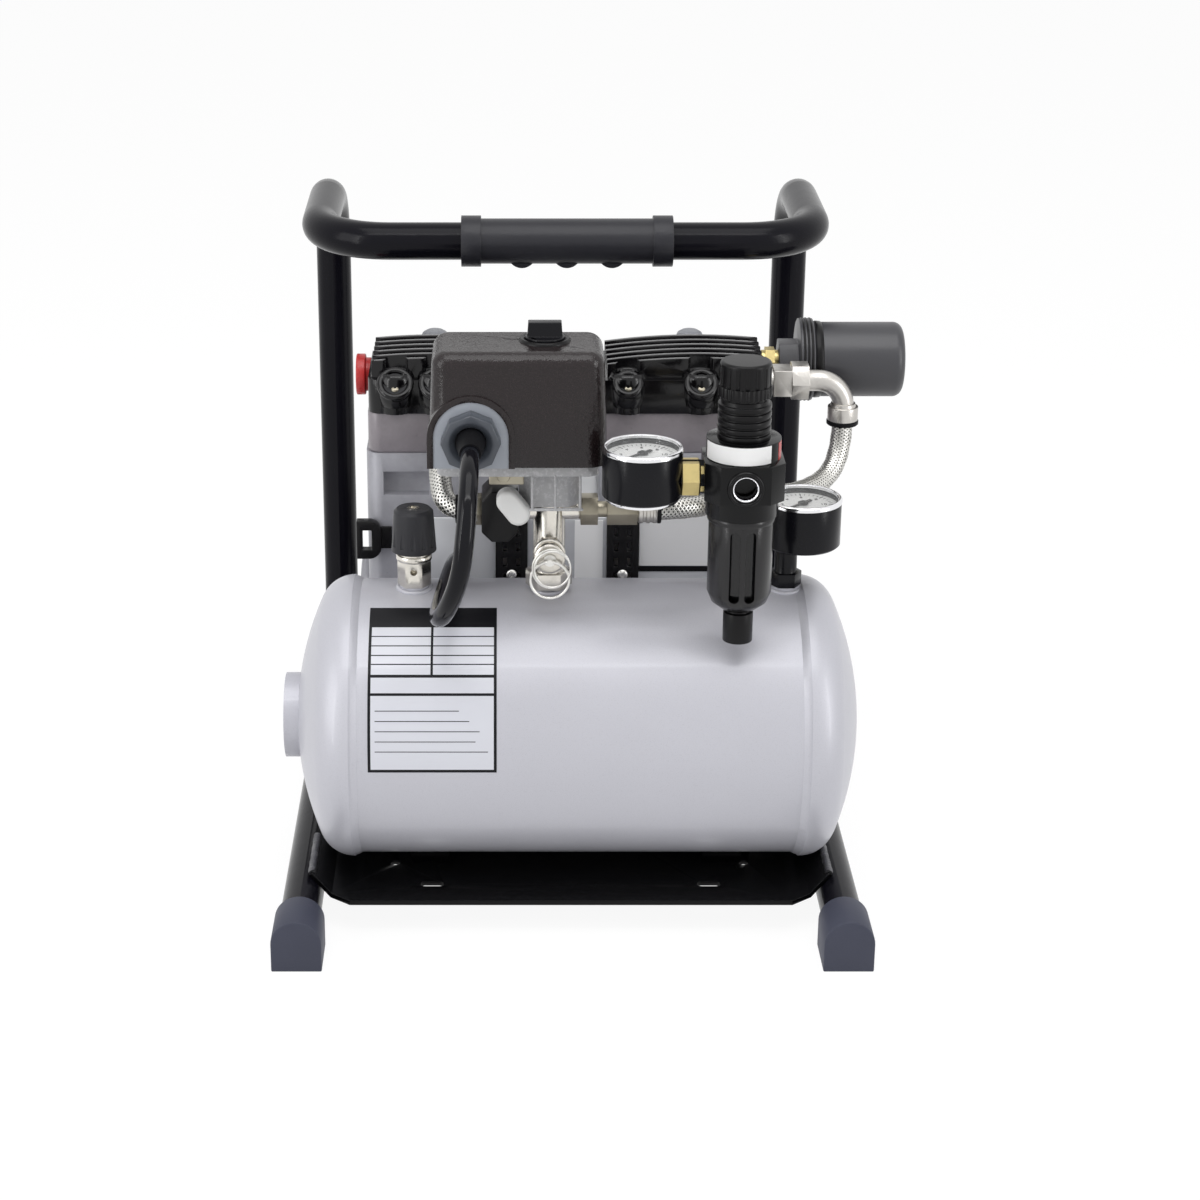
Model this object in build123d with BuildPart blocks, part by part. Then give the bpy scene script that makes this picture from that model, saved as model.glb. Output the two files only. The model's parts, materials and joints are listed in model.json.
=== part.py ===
"""Portable twin-cylinder air compressor: a four-litre receiver in front of a motor block,
both on a base plate inside a bent tube frame that ends in a carrying handle."""
from build123d import *
import math
import os

os.makedirs("parts", exist_ok=True)

# ---- Driving dimensions, millimetres and degrees ----
# The origin is on the floor, midway along the bounding box in X and Y. X runs to the right seen
# from the front, Y to the back, Z up. FRAME_X and FRONT_Y place everything else; the mains
# lead's coil lies behind and is left out of that box.
FRAME_X = -17.0  # centre plane of the frame; the intake filter overhangs on the right
FRONT_Y = -194.5  # front face of the front feet

FIT = 0.05  # radial gap between seated pieces
RUNNING = 0.05  # radial gap between a shaft and its bearing
CLEAR = 0.3  # gap between pieces that move past each other

# Frame
TUBE_D = 20.0
TUBE_WALL = 2.0
RAIL_SPREAD = 268.0  # between the two rail centre lines
RAIL_Z = TUBE_D / 2 + 4.0
FRAME_L = 379.0  # front of the feet to the centre of the posts
POST_Y = FRONT_Y + FRAME_L
POST_TOP_Z = 307.0  # the top rails fall a little from the posts to the bar
BAR_Z = 304.0
BAR_SETBACK = 137.0  # bar in front of the posts
BAR_Y = POST_Y - BAR_SETBACK
REAR_BEND = 45.0
TOP_BEND = 42.0
BAR_BEND = 40.0
GRIP_L = 112.5
GRIP_D = TUBE_D + 4.0
COLLAR_D = TUBE_D + 7.2
COLLAR_L = 10.5
FINGER_PITCH = 24.0
FOOT_W = TUBE_D + 4.6
FOOT_H = TUBE_D + 7.0
FOOT_L = 27.0
FOOT_WALL = 6.0  # in front of the tube's end
REAR_FOOT_Y = POST_Y - REAR_BEND - 38.0

# Base plate
PLATE_T = 2.5
PLATE_TOP = RAIL_Z + 5.0
PLATE_FRONT = FRONT_Y + 37.0
PLATE_REAR = REAR_FOOT_Y - 4.0
WING_RUN = 10.0
WING_REST = 4.0  # outer edge of each wing, inboard of its rail's centre line
PLATE_FLAT_W = RAIL_SPREAD - 2 * (WING_RUN + WING_REST)
WING_RISE = (
    RAIL_Z + math.sqrt((TUBE_D / 2 + CLEAR) ** 2 - WING_REST**2) - (PLATE_TOP - PLATE_T)
)
CORNER_CUT = 20.0
SLOT_PITCH = 139.0
SLOT_L = 12.0
SLOT_W = 5.0
SLOT_Y = FRONT_Y + 55.0
DRAIN_HOLE_PITCH = 178.0
DRAIN_HOLE_R = 2.5
DRAIN_HOLE_Y = FRONT_Y + 78.0

# Receiver tank
TANK_X = FRAME_X + 3.5
TANK_SETBACK = 100.0  # tank's axis behind the front of the feet
TANK_Y = FRONT_Y + TANK_SETBACK
SHELL_R = 69.5
TANK_WALL = 1.9
HEAD_R = SHELL_R + TANK_WALL + 0.1
TANK_Z = PLATE_TOP + 1.5 + HEAD_R
TANK_L = 283.0
CROWN_R = 150.0
KNUCKLE_R = 18.0
INNER_KNUCKLE_R = 12.0
SKIRT_RUN = 0.65  # straight skirt between the lap seam and the knuckle
KNUCKLE_TURN = math.acos(HEAD_R / CROWN_R)  # angle between the skirt and the crown at its rim
CROWN_RISE = CROWN_R - math.sqrt(CROWN_R**2 - HEAD_R**2)
SKIRT_L = SKIRT_RUN + KNUCKLE_R * math.tan(KNUCKLE_TURN / 2) + CROWN_RISE  # seam to end
LAP = 3.0  # shell inside the head's skirt
BOSS_TOP = TANK_Z + SHELL_R + 2.0
BOSS_R = 7.5
BOSS_H = 9.0
PORT_R = 4.8
PORT_DEPTH = 20.0
THREAD_L = 6.0  # length of a fitting inside its port
THROUGH = 40.0  # length of a cut that runs out of its piece
END_BOSS_R = 21.5
END_BOSS_H = 6.0
PLUG_R = 14.0
PLUG_HEX = 12.0
SADDLE_X = TANK_L / 2 - 66.5
SADDLE_W = 20.0
SADDLE_L = 30.0

# Places along the tank's crown
MANIFOLD_X = FRAME_X - 11.0
DRAIN_X = MANIFOLD_X - 67.1
REGULATOR_X = TANK_X + TANK_L / 2 - 65.7
TANK_GAUGE_PORT_X = TANK_X + TANK_L / 2 - 38.0

# Drain valve
DRAIN_HEX = 14.5
DRAIN_BODY_TOP = BOSS_TOP + 18.0
DRAIN_KNOB_TOP = DRAIN_BODY_TOP + 22.0
DRAIN_KNOB_R = 11.2
DRAIN_KNOB_TOP_R = 9.8
SPINDLE_R = 3.0
KNOB_FLUTES = 12

# Compressor block: two cylinders side by side, one at each end of the motor
BLOCK_D = 72.0  # front to back
SHAFT_Y = TANK_Y + HEAD_R + 12.5 + BLOCK_D / 2
BLOCK_OUT = 106.0  # outer face of each cylinder casting, from the centre plane
BLOCK_IN = 17.0  # inner face
CASE_IN = 56.0  # inner face of each crankcase below
CASE_BOTTOM = PLATE_TOP + 21.0
SHAFT_Z = CASE_BOTTOM + 60.0
CASE_SHOULDER = SHAFT_Z + 70.0
CASE_TOP = CASE_SHOULDER + 34.0
BLOCK_TOP = CASE_TOP + 22.0
HEAD_BASE_TOP = BLOCK_TOP + 18.0
HEAD_TOP = HEAD_BASE_TOP + 10.0  # at the middle of the crowned ribs
CROWN_IN_DROP = 4.0
CROWN_OUT_DROP = 2.0
CASTING_R = 8.0  # upright outer corners
RECESS_IN = 33.0  # ends of the recess in each casting's front, from its outer face
RECESS_OUT = 9.0
RECESS_LOW = 11.0  # above the shoulder
RECESS_HIGH = 10.0  # below the casting's top
RECESS_D = 7.0
CYLINDER_X = BLOCK_OUT - 26.0
CYLINDER_R = 21.0
RIB_T = 3.0
RIB_COUNT = 6
RIB_PITCH = 8.8
HEAD_LEDGE = 16.0  # lower strip along the back of each head
LEDGE_Z = HEAD_BASE_TOP - 6.0
FRONT_SCREW_XS = (BLOCK_IN + 14.0, BLOCK_OUT - 37.0, BLOCK_OUT - 16.0)
REAR_SCREW_XS = (BLOCK_IN + 14.0, BLOCK_OUT - 16.0)
SCREW_POCKET_R = 6.5
SCREW_BOSS_R = SCREW_POCKET_R + 1.6
SCREW_HEAD_R = 4.5
SCREW_SEAT_Z = BLOCK_TOP + 6.0
SCREW_INSET = 5.0
HEAD_PLUG_R = 7.6
HEAD_PLUG_XS = (BLOCK_OUT - 35.0, BLOCK_OUT - 39.0)  # left and right
HEAD_PLUG_RISE = 15.5
CAVITY_OUT = BLOCK_OUT - 5.0
CAVITY_IN = CASE_IN + 6.0
CAVITY_TOP = CASE_SHOULDER - 5.0
BEARING_R = 17.5
BEARING_W = 11.0
BEARING_IN = CASE_IN - 5.0
BEARING_BOSS_R = BEARING_R + 4.5
SHAFT_R = 7.5
CRANK_PIN_R = 5.0
THROW = 5.0  # half the stroke
WEB_R = 16.0
WEB_T = 6.0
WEB_X = CAVITY_IN + 2.0
BIG_END_R = 19.0
BIG_END_BORE = 15.3  # seat of the big-end bearing
ROD_T = 9.0
PISTON_R = CYLINDER_R - RUNNING
PISTON_TOP = BLOCK_TOP - 6.0
PISTON_T = 8.0
COVER_R = 32.0
COVER_T = 4.0
STATOR_W = BLOCK_D
STATOR_L = 48.0
STATOR_BORE = 22.0
WINDING_R = 35.0
WINDING_L = 11.0
ROTOR_R = STATOR_BORE - 0.4
FAN_X = STATOR_L / 2 + WINDING_L + 5.5
FAN_R = 30.0
FAN_T = 7.0
FAN_BLADES = 9
MOUNT_R = 11.0
MOUNT_INSET = 14.0
MOUNT_STUD_R = 3.0

# Motor shroud and vents
SHROUD_T = 1.5
SHROUD_W = 2 * CASE_IN + 40.0
SHROUD_FRONT = SHAFT_Y - BLOCK_D / 2 - 2.0
SHROUD_BOTTOM = SHAFT_Z + 12.0
SHROUD_REAR_BOTTOM = SHAFT_Z - 38.0
SHROUD_TOP = CASE_SHOULDER - 1.0
CLIP_Z = CASE_SHOULDER - 12.5
VENT_X = 29.5
VENT_W = 17.0
VENT_T = 3.0
VENT_SLOTS = 6
VENT_SLOT_PITCH = 8.5
VENT_SLOT_L = 5.0
VENT_SLOT_W = 2.2

# Pressure switch
SWITCH_X = MANIFOLD_X - 15.5
SWITCH_Y = TANK_Y - 8.0
SWITCH_W = 86.0
SWITCH_D = 50.0
FLANGE_BOTTOM = BOSS_TOP + 45.5
SWITCH_BOTTOM = FLANGE_BOTTOM + 26.5
SWITCH_H = 55.5
SWITCH_TOP = SWITCH_BOTTOM + SWITCH_H
SWITCH_CORNER_R = 10.0
SWITCH_TOP_R = 7.0
SWITCH_DRAFT = 2.0
SWITCH_WALL = 3.0
SWITCH_KNOB_X = SWITCH_X + 12.9
SWITCH_KNOB_Y = SWITCH_Y + 3.0
KNOB_SHAFT_R = 4.5
GLAND_X = SWITCH_X - 22.5
GLAND_Z = SWITCH_BOTTOM + 15.0
ARCH_R = 18.0
ARCH_RIM = 3.0
GLAND_NUT_W = 26.5
GLAND_NUT_FRONT = SWITCH_Y - SWITCH_D / 2 - 10.0
GLAND_BORE = 7.2
FLANGE_W = 30.0
FLANGE_CHAMFER = 6.0
FLANGE_BASE_T = 6.0

# Manifold between the tank, the switch and both hoses
PORT_Z = BOSS_TOP + 39.5
COLUMN_R = 8.0
ARM_R = 5.0
MANIFOLD_HEX = 20.0
RELIEF_Z = BOSS_TOP + 22.5
RELIEF_R = 6.5
RELIEF_BORE = 1.6
RELIEF_FRONT = TANK_Y - 26.0
RING_R = 9.4
RING_WIRE = 0.75
CHECK_W = 18.0
CHECK_H = 26.0
CHECK_BACK = 10.0  # behind the port's centre line
CAP_L = 19.5
CAP_W = 11.5
CAP_TILT = -52.0

# Hoses
HOSE_R = 6.2
UNION_HEX = 14.0
LEFT_HOSE_START = MANIFOLD_X - 40.0
RIGHT_HOSE_START = MANIFOLD_X + 49.0
LEFT_OUTLET_X = BLOCK_IN + 33.0
LEFT_OUTLET_Z = LEDGE_Z

# Filter-regulator
REGULATOR_Y = TANK_Y - 50.0
REGULATOR_PORT_Z = BOSS_TOP + 73.5
BODY_W = 37.6
BODY_BOTTOM = REGULATOR_PORT_Z - 8.0
BODY_TOP = REGULATOR_PORT_Z + 10.5
BAND_R = 17.6
BAND_TOP = BODY_TOP + 9.5
BONNET_R = 12.6
BONNET_TOP = BAND_TOP + 19.0
KNOB_R = 12.0
KNOB_TOP = BONNET_TOP + 18.0
COLLAR_R = 17.4
COLLAR_BOTTOM = BODY_BOTTOM - 9.5
GUARD_R = 15.4
GUARD_WALL = 1.5
GUARD_BOTTOM = COLLAR_BOTTOM - 48.5
BOWL_WALL = 1.6
DRAIN_SCREW_R = 7.2
DRAIN_SCREW_BOTTOM = GUARD_BOTTOM - 17.0
WINDOW_W = 4.8
WINDOW_GAP = 2.6
WINDOW_BOTTOM = GUARD_BOTTOM + 7.0
WINDOW_TOP = COLLAR_BOTTOM - 5.5
OUTLET_R = 6.0
OUTLET_DEPTH = 12.0
RISER_R = 6.0

# Gauges, dial upwards
GAUGE_R = 19.0
GAUGE_H = 24.0
GAUGE_WALL = 1.5
DIAL_DROP = 3.2
OUTLET_GAUGE_X = REGULATOR_X - 47.3
OUTLET_GAUGE_Z = REGULATOR_PORT_Z + 14.5
TANK_GAUGE_X = TANK_GAUGE_PORT_X + 7.5
TANK_GAUGE_Z = BOSS_TOP + 45.5
NEEDLE_L = 13.5
NEEDLE_REST = 225.0  # degrees anticlockwise from +X

# Intake filter, on the right-hand head
INTAKE_Y = SHAFT_Y + 12.0
INTAKE_Z = HEAD_BASE_TOP - 2.4
INTAKE_R = 20.0
INTAKE_FLANGE_R = INTAKE_R + 2.0
INTAKE_FLANGE_X = FRAME_X + BLOCK_OUT + 18.0
INTAKE_COVER_X = INTAKE_FLANGE_X + 8.0
INTAKE_END_X = INTAKE_COVER_X + 48.0

# Outlet fitting on the right-hand head, and the blanked side port on the left-hand one
OUTLET_Y = SHAFT_Y - 24.0
OUTLET_Z = HEAD_BASE_TOP - 3.5
OUTLET_NUT_X = FRAME_X + BLOCK_OUT + 11.0
OUTLET_NUT_L = 9.0
ELBOW_R = 14.0
ELBOW_X = OUTLET_NUT_X + OUTLET_NUT_L + 5.0 + ELBOW_R  # the hose's upright end
PORT_CAP_R = 11.0

# Mains cord
CORD_R = 4.5
RELIEF_TIP = 15.0  # length of the cord's bend relief in front of the nut
COIL_R = 50.0  # middle of the bundle
COIL_W = 18.8
COIL_X = FRAME_X - 5.5
COIL_Y = PLATE_REAR + 100.0
PLUG_BODY_R = 17.5
PLUG_L = 42.0
PLUG_PIN_R = 2.4
PLUG_PIN_L = 19.0
PLUG_PIN_PITCH = 19.0

CENTRES = (-1, 1)  # left and right


# ---- Helpers ----
def axis_plane(x, y, z, direction, x_dir=None):
    """A plane at a point, with its Z axis along a direction."""
    return Plane(origin=(x, y, z), x_dir=x_dir, z_dir=direction)


def turn(outline, place, mode=Mode.ADD):
    """Revolve a closed (radius, height) outline about a plane's Z axis."""
    side = Plane(place.origin, x_dir=place.x_dir, z_dir=place.x_dir.cross(place.z_dir))
    with BuildSketch(side) as profile:
        with BuildLine():
            Polyline(*outline, close=True)
        make_face()
    revolve(profile.sketch, axis=Axis(place.origin, place.z_dir), mode=mode)


def rod(place, radius, length, mode=Mode.ADD):
    """A round bar that starts on a plane."""
    with BuildSketch(place) as profile:
        Circle(radius)
    extrude(profile.sketch, amount=length, mode=mode)


def pipe(place, radius, bore, length, mode=Mode.ADD):
    """A round tube that starts on a plane."""
    with BuildSketch(place) as profile:
        Circle(radius)
        Circle(bore, mode=Mode.SUBTRACT)
    extrude(profile.sketch, amount=length, mode=mode)


def nut(place, across_flats, length, sides=6, mode=Mode.ADD):
    """A polygonal bar that starts on a plane."""
    with BuildSketch(place) as profile:
        RegularPolygon(radius=across_flats / 2, side_count=sides, major_radius=False)
    extrude(profile.sketch, amount=length, mode=mode)


def block(low, high, mode=Mode.ADD):
    """A box between two corners."""
    middle = tuple((a + b) / 2 for a, b in zip(low, high))
    size = [b - a for a, b in zip(low, high)]
    with Locations(middle):
        Box(*size, mode=mode)


def sided(side, inner, outer):
    """The X interval between two distances from the frame's centre plane, on one side."""
    ends = (FRAME_X + side * inner, FRAME_X + side * outer)
    return min(ends), max(ends)


def casting(side, inner, outer, y_low, y_high, z_low, z_high, radius):
    """A block on one side of the frame, with its outer upright corners rounded."""
    x_low, x_high = sided(side, inner, outer)
    with BuildSketch(Plane(origin=(0, 0, z_low))) as footprint:
        with Locations(((x_low + x_high) / 2, (y_low + y_high) / 2)):
            Rectangle(x_high - x_low, y_high - y_low)
        fillet(footprint.vertices().sort_by(Axis.X, reverse=side > 0)[:2], radius)
    extrude(footprint.sketch, amount=z_high - z_low)


def corner_radii(points):
    """The largest even arc for each corner of a hose's or cord's route."""
    runs = [Vector(b) - Vector(a) for a, b in zip(points, points[1:])]
    # an inner run is shared by the arcs at both its ends, an end run is not
    shares = [0.45 * run.length for run in runs]
    shares[0] *= 1.8
    shares[-1] *= 1.8
    radii = []
    for corner, (run_in, run_out) in enumerate(zip(runs, runs[1:])):
        half_turn = math.radians(run_in.get_angle(run_out)) / 2
        radii.append(min(shares[corner], shares[corner + 1]) / math.tan(half_turn))
    return radii


def cord_tube(points, radius, name):
    """A round tube along straight runs joined by tangent arcs."""
    radii = corner_radii(points)
    with BuildLine() as route:
        FilletPolyline(*points, radius=radii)
    path = route.wires()[0]
    with BuildSketch(Plane(origin=path @ 0, z_dir=path % 0)) as section:
        Circle(radius)
    sweep(section.sketch, path=path)
    print(name, "radii", [round(r) for r in radii], "length", round(path.length))
    return math.pi * radius**2 * path.length


def save(piece, name):
    """Label a finished piece and write its STEP file."""
    piece.part.label = name
    export_step(piece.part, f"parts/{name}.step")


# ---- Frame ----
rail = RAIL_SPREAD / 2
left_side = [
    (FRAME_X - rail, FRONT_Y + FOOT_WALL, RAIL_Z),
    (FRAME_X - rail, POST_Y, RAIL_Z),
    (FRAME_X - rail, POST_Y, POST_TOP_Z),
    (FRAME_X - rail, BAR_Y, BAR_Z),
]
right_side = [(2 * FRAME_X - x, y, z) for x, y, z in reversed(left_side)]
bends = [REAR_BEND, TOP_BEND, BAR_BEND]
with BuildPart() as tube_frame:
    with BuildLine() as bent_line:
        FilletPolyline(*left_side, *right_side, radius=bends + bends[::-1])
    with BuildSketch(Plane(origin=bent_line.line @ 0, z_dir=bent_line.line % 0)) as tube_section:
        Circle(TUBE_D / 2)
        Circle(TUBE_D / 2 - TUBE_WALL, mode=Mode.SUBTRACT)
    sweep(tube_section.sketch, path=bent_line.line)
save(tube_frame, "tube_frame")

grip_start = axis_plane(FRAME_X - GRIP_L / 2, BAR_Y, BAR_Z, (1, 0, 0), (0, 1, 0))
grip_bore = TUBE_D / 2 + FIT
with BuildPart() as handle_grip:
    rod(grip_start, GRIP_D / 2, GRIP_L)
    for offset in (0, GRIP_L - COLLAR_L):
        rod(grip_start.offset(offset), COLLAR_D / 2, COLLAR_L)
    for step in (-1, 0, 1):
        bump = axis_plane(
            FRAME_X + step * FINGER_PITCH, BAR_Y - 5, BAR_Z - GRIP_D / 2 + 6, (0, 1, 0), (1, 0, 0)
        )
        rod(bump, 7.6, 10)
    rod(grip_start, grip_bore, GRIP_L, mode=Mode.SUBTRACT)
save(handle_grip, "handle_grip")

foot_starts = [(FRONT_Y, FRONT_Y + FOOT_WALL), (REAR_FOOT_Y, REAR_FOOT_Y)]
with BuildPart() as rubber_feet:
    for side in CENTRES:
        for foot_y, bore_y in foot_starts:
            x = FRAME_X + side * rail
            with BuildSketch(axis_plane(x, foot_y, 0, (0, 1, 0), (1, 0, 0))) as foot_face:
                with Locations((0, -(FOOT_H - FOOT_W / 2))):
                    Circle(FOOT_W / 2)
                with Locations((0, -(FOOT_H - FOOT_W / 2) / 2)):
                    Rectangle(FOOT_W, FOOT_H - FOOT_W / 2)
            extrude(foot_face.sketch, amount=FOOT_L)
            bore = axis_plane(x, bore_y, RAIL_Z, (0, 1, 0), (1, 0, 0))
            rod(bore, TUBE_D / 2 + FIT, FOOT_L, mode=Mode.SUBTRACT)
save(rubber_feet, "rubber_feet")

# ---- Base plate: a flat tray whose wings rise onto the rails ----
flat = PLATE_FLAT_W / 2
wing_slope = math.atan2(WING_RISE, WING_RUN)
wing_t = PLATE_T / math.cos(wing_slope)
bend_in = (wing_t - PLATE_T) / math.tan(wing_slope)
plate_bottom = PLATE_TOP - PLATE_T
half_profile = [
    (0, plate_bottom),
    (flat, plate_bottom),
    (flat + WING_RUN, plate_bottom + WING_RISE),
    (flat + WING_RUN, plate_bottom + WING_RISE + wing_t),
    (flat - bend_in, PLATE_TOP),
    (0, PLATE_TOP),
]
with BuildPart() as base_plate:
    with BuildSketch(axis_plane(FRAME_X, PLATE_FRONT, 0, (0, 1, 0), (-1, 0, 0))) as plate_profile:
        with BuildLine():
            Polyline(*half_profile, close=True)
        make_face()
        mirror(about=Plane.YZ)
    extrude(plate_profile.sketch, amount=PLATE_REAR - PLATE_FRONT)
    with BuildSketch(Plane.XY) as plate_cuts:
        for side in CENTRES:
            edge = FRAME_X + side * (flat + WING_RUN)
            for end_y, inward in ((PLATE_FRONT, 1), (PLATE_REAR, -1)):
                with BuildLine():
                    Polyline(
                        (edge, end_y + inward * CORNER_CUT * 0.8),
                        (edge + side, end_y - inward),
                        (edge - side * CORNER_CUT, end_y - inward),
                        (edge - side * CORNER_CUT, end_y),
                        close=True,
                    )
                make_face()
        with Locations((FRAME_X, SLOT_Y)):
            with GridLocations(SLOT_PITCH, 0, 2, 1):
                SlotOverall(SLOT_L, SLOT_W)
        with Locations((FRAME_X, DRAIN_HOLE_Y)):
            with GridLocations(DRAIN_HOLE_PITCH, 0, 2, 1):
                Circle(DRAIN_HOLE_R)
    extrude(plate_cuts.sketch, amount=2 * FOOT_H, mode=Mode.SUBTRACT)
save(base_plate, "base_plate")

# ---- Receiver tank ----
tank_axis = axis_plane(TANK_X, TANK_Y, TANK_Z, (1, 0, 0), (0, 1, 0))
seam = TANK_L / 2 - SKIRT_L
shell_half = seam + LAP
boss_xs = (DRAIN_X, MANIFOLD_X, REGULATOR_X, TANK_GAUGE_PORT_X)


def dome_outline(radius, apex, crown, knuckle, start):
    """Half outline of a dished tank end: straight skirt, knuckle, shallow crown."""
    rim = apex - crown + math.sqrt(crown**2 - radius**2)
    half_angle = math.asin(radius / crown) / 2
    middle = (apex - crown + crown * math.cos(half_angle), crown * math.sin(half_angle))
    with BuildSketch(Plane.XY, mode=Mode.PRIVATE) as outline:
        with BuildLine():
            Polyline((apex, 0), (start, 0), (start, radius), (rim, radius))
            ThreePointArc((rim, radius), middle, (apex, 0))
        make_face()
        fillet(outline.vertices().sort_by_distance((rim, radius, 0))[0], knuckle)
    return outline.sketch


with BuildPart() as tank_shell:
    pipe(tank_axis.offset(-shell_half), SHELL_R, SHELL_R - TANK_WALL, 2 * shell_half)
    for x in boss_xs:
        rod(Plane(origin=(x, TANK_Y, BOSS_TOP - BOSS_H)), BOSS_R, BOSS_H)
    for side in CENTRES:
        x = TANK_X + side * SADDLE_X
        block(
            (x - SADDLE_W / 2, TANK_Y - SADDLE_L / 2, PLATE_TOP),
            (x + SADDLE_W / 2, TANK_Y + SADDLE_L / 2, TANK_Z - SHELL_R + TANK_WALL - 0.2),
        )
    for x in boss_xs:
        port = Plane(origin=(x, TANK_Y, BOSS_TOP - PORT_DEPTH))
        rod(port, PORT_R, PORT_DEPTH + 1, mode=Mode.SUBTRACT)
save(tank_shell, "tank_shell")

half_tank = TANK_L / 2
outer_dome = dome_outline(HEAD_R, half_tank, CROWN_R, KNUCKLE_R, seam)
inner_dome = dome_outline(
    SHELL_R + FIT, half_tank - TANK_WALL, CROWN_R - TANK_WALL, INNER_KNUCKLE_R, seam
)
with BuildPart() as tank_heads:
    for side in CENTRES:
        head_plane = Plane(
            origin=(TANK_X, TANK_Y, TANK_Z), x_dir=(side, 0, 0), z_dir=(0, -side, 0)
        )
        for dome, mode in ((outer_dome, Mode.ADD), (inner_dome, Mode.SUBTRACT)):
            revolve(
                head_plane * dome, axis=Axis(head_plane.origin, head_plane.x_dir), mode=mode
            )
    end_boss = tank_axis.offset(-half_tank - END_BOSS_H)
    pipe(end_boss, END_BOSS_R, PLUG_R + FIT, END_BOSS_H + TANK_WALL + 0.2)
    rod(end_boss, PLUG_R + FIT, END_BOSS_H + 4, mode=Mode.SUBTRACT)
save(tank_heads, "tank_heads")

with BuildPart() as tank_plug:
    rod(end_boss, PLUG_R, END_BOSS_H + 4)
    nut(end_boss, PLUG_HEX, 5, mode=Mode.SUBTRACT)
    chamfer(tank_plug.edges().group_by(Axis.X)[0].filter_by(GeomType.CIRCLE), 0.8)
save(tank_plug, "tank_plug")

# ---- Drain valve ----
drain_axis = Plane(origin=(DRAIN_X, TANK_Y, BOSS_TOP))
knob_bottom = DRAIN_BODY_TOP + CLEAR
with BuildPart() as drain_valve_body:
    rod(drain_axis.offset(-THREAD_L), PORT_R - FIT, THREAD_L)
    nut(drain_axis, DRAIN_HEX, DRAIN_BODY_TOP - BOSS_TOP)
    rod(drain_axis, SPINDLE_R, DRAIN_KNOB_TOP - BOSS_TOP - 2)
    rod(
        axis_plane(DRAIN_X, TANK_Y, BOSS_TOP + 8.5, (0, -1, 0), (1, 0, 0)),
        1.7,
        DRAIN_HEX,
        mode=Mode.SUBTRACT,
    )
save(drain_valve_body, "drain_valve_body")

with BuildPart() as drain_valve_knob:
    turn(
        [
            (SPINDLE_R + RUNNING, knob_bottom),
            (DRAIN_KNOB_R, knob_bottom),
            (DRAIN_KNOB_TOP_R, DRAIN_KNOB_TOP - 1.5),
            (DRAIN_KNOB_TOP_R - 1.5, DRAIN_KNOB_TOP),
            (SPINDLE_R + RUNNING, DRAIN_KNOB_TOP),
        ],
        Plane(origin=(DRAIN_X, TANK_Y, 0)),
    )
    with Locations((DRAIN_X, TANK_Y, (knob_bottom + DRAIN_KNOB_TOP) / 2 + 3)):
        with PolarLocations(DRAIN_KNOB_R + 0.7, KNOB_FLUTES):
            Cylinder(1.6, DRAIN_KNOB_TOP - knob_bottom, mode=Mode.SUBTRACT)
save(drain_valve_knob, "drain_valve_knob")

# ---- Compressor block ----
front_y = SHAFT_Y - BLOCK_D / 2
back_y = SHAFT_Y + BLOCK_D / 2
shaft_left = (FRAME_X, SHAFT_Y, SHAFT_Z)


def shaft_plane(distance, side=1):
    """A plane across the crankshaft, facing outwards on one side."""
    return axis_plane(FRAME_X + side * distance, SHAFT_Y, SHAFT_Z, (side, 0, 0), (0, 1, 0))


def bore_plane(side, z):
    """A level plane on one cylinder's axis."""
    return Plane(origin=(FRAME_X + side * CYLINDER_X, SHAFT_Y, z))


with BuildPart() as crankcases:
    for side in CENTRES:
        casting(side, CASE_IN, BLOCK_OUT, front_y, back_y, CASE_BOTTOM, CASE_SHOULDER, CASTING_R)
        casting(side, BLOCK_IN, BLOCK_OUT, front_y, back_y, CASE_SHOULDER, CASE_TOP, CASTING_R)
        rod(shaft_plane(BEARING_IN - 1, side), BEARING_BOSS_R, CASE_IN - BEARING_IN + 3)
        hollow_low, hollow_high = sided(side, CAVITY_IN, CAVITY_OUT)
        block(
            (hollow_low, front_y + 6, CASE_BOTTOM + 14),
            (hollow_high, back_y - 6, CAVITY_TOP),
            mode=Mode.SUBTRACT,
        )
        bore_l = CASE_TOP - CAVITY_TOP + 2
        rod(bore_plane(side, CAVITY_TOP - 1), CYLINDER_R, bore_l, mode=Mode.SUBTRACT)
        bearing_seat = BEARING_R + FIT
        rod(shaft_plane(BEARING_IN, side), bearing_seat, BEARING_W + 2, mode=Mode.SUBTRACT)
        rod(shaft_plane(BEARING_IN - 3, side), SHAFT_R + 1, 20, mode=Mode.SUBTRACT)
        rod(shaft_plane(CAVITY_OUT - 2, side), COVER_R - 6, 20, mode=Mode.SUBTRACT)
        slot_low, slot_high = sided(side, BLOCK_OUT - RECESS_IN, BLOCK_OUT - RECESS_OUT)
        block(
            (slot_low, front_y - 1, CASE_SHOULDER + RECESS_LOW),
            (slot_high, front_y + RECESS_D, CASE_TOP - RECESS_HIGH),
            mode=Mode.SUBTRACT,
        )
save(crankcases, "crankcases")

with BuildPart() as crankcase_covers:
    for side in CENTRES:
        cover = shaft_plane(BLOCK_OUT, side)
        rod(cover, COVER_R, COVER_T)
        rod(cover.offset(-3), COVER_R - 6 - FIT, 3)
save(crankcase_covers, "crankcase_covers")

with BuildPart() as cylinder_blocks:
    for side in CENTRES:
        casting(
            side,
            BLOCK_IN + 1,
            BLOCK_OUT - 1,
            front_y + 1,
            back_y - 1,
            CASE_TOP,
            BLOCK_TOP,
            CASTING_R - 1,
        )
        bore_l = BLOCK_TOP - CASE_TOP + 2
        rod(bore_plane(side, CASE_TOP - 1), CYLINDER_R, bore_l, mode=Mode.SUBTRACT)
save(cylinder_blocks, "cylinder_blocks")

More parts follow.
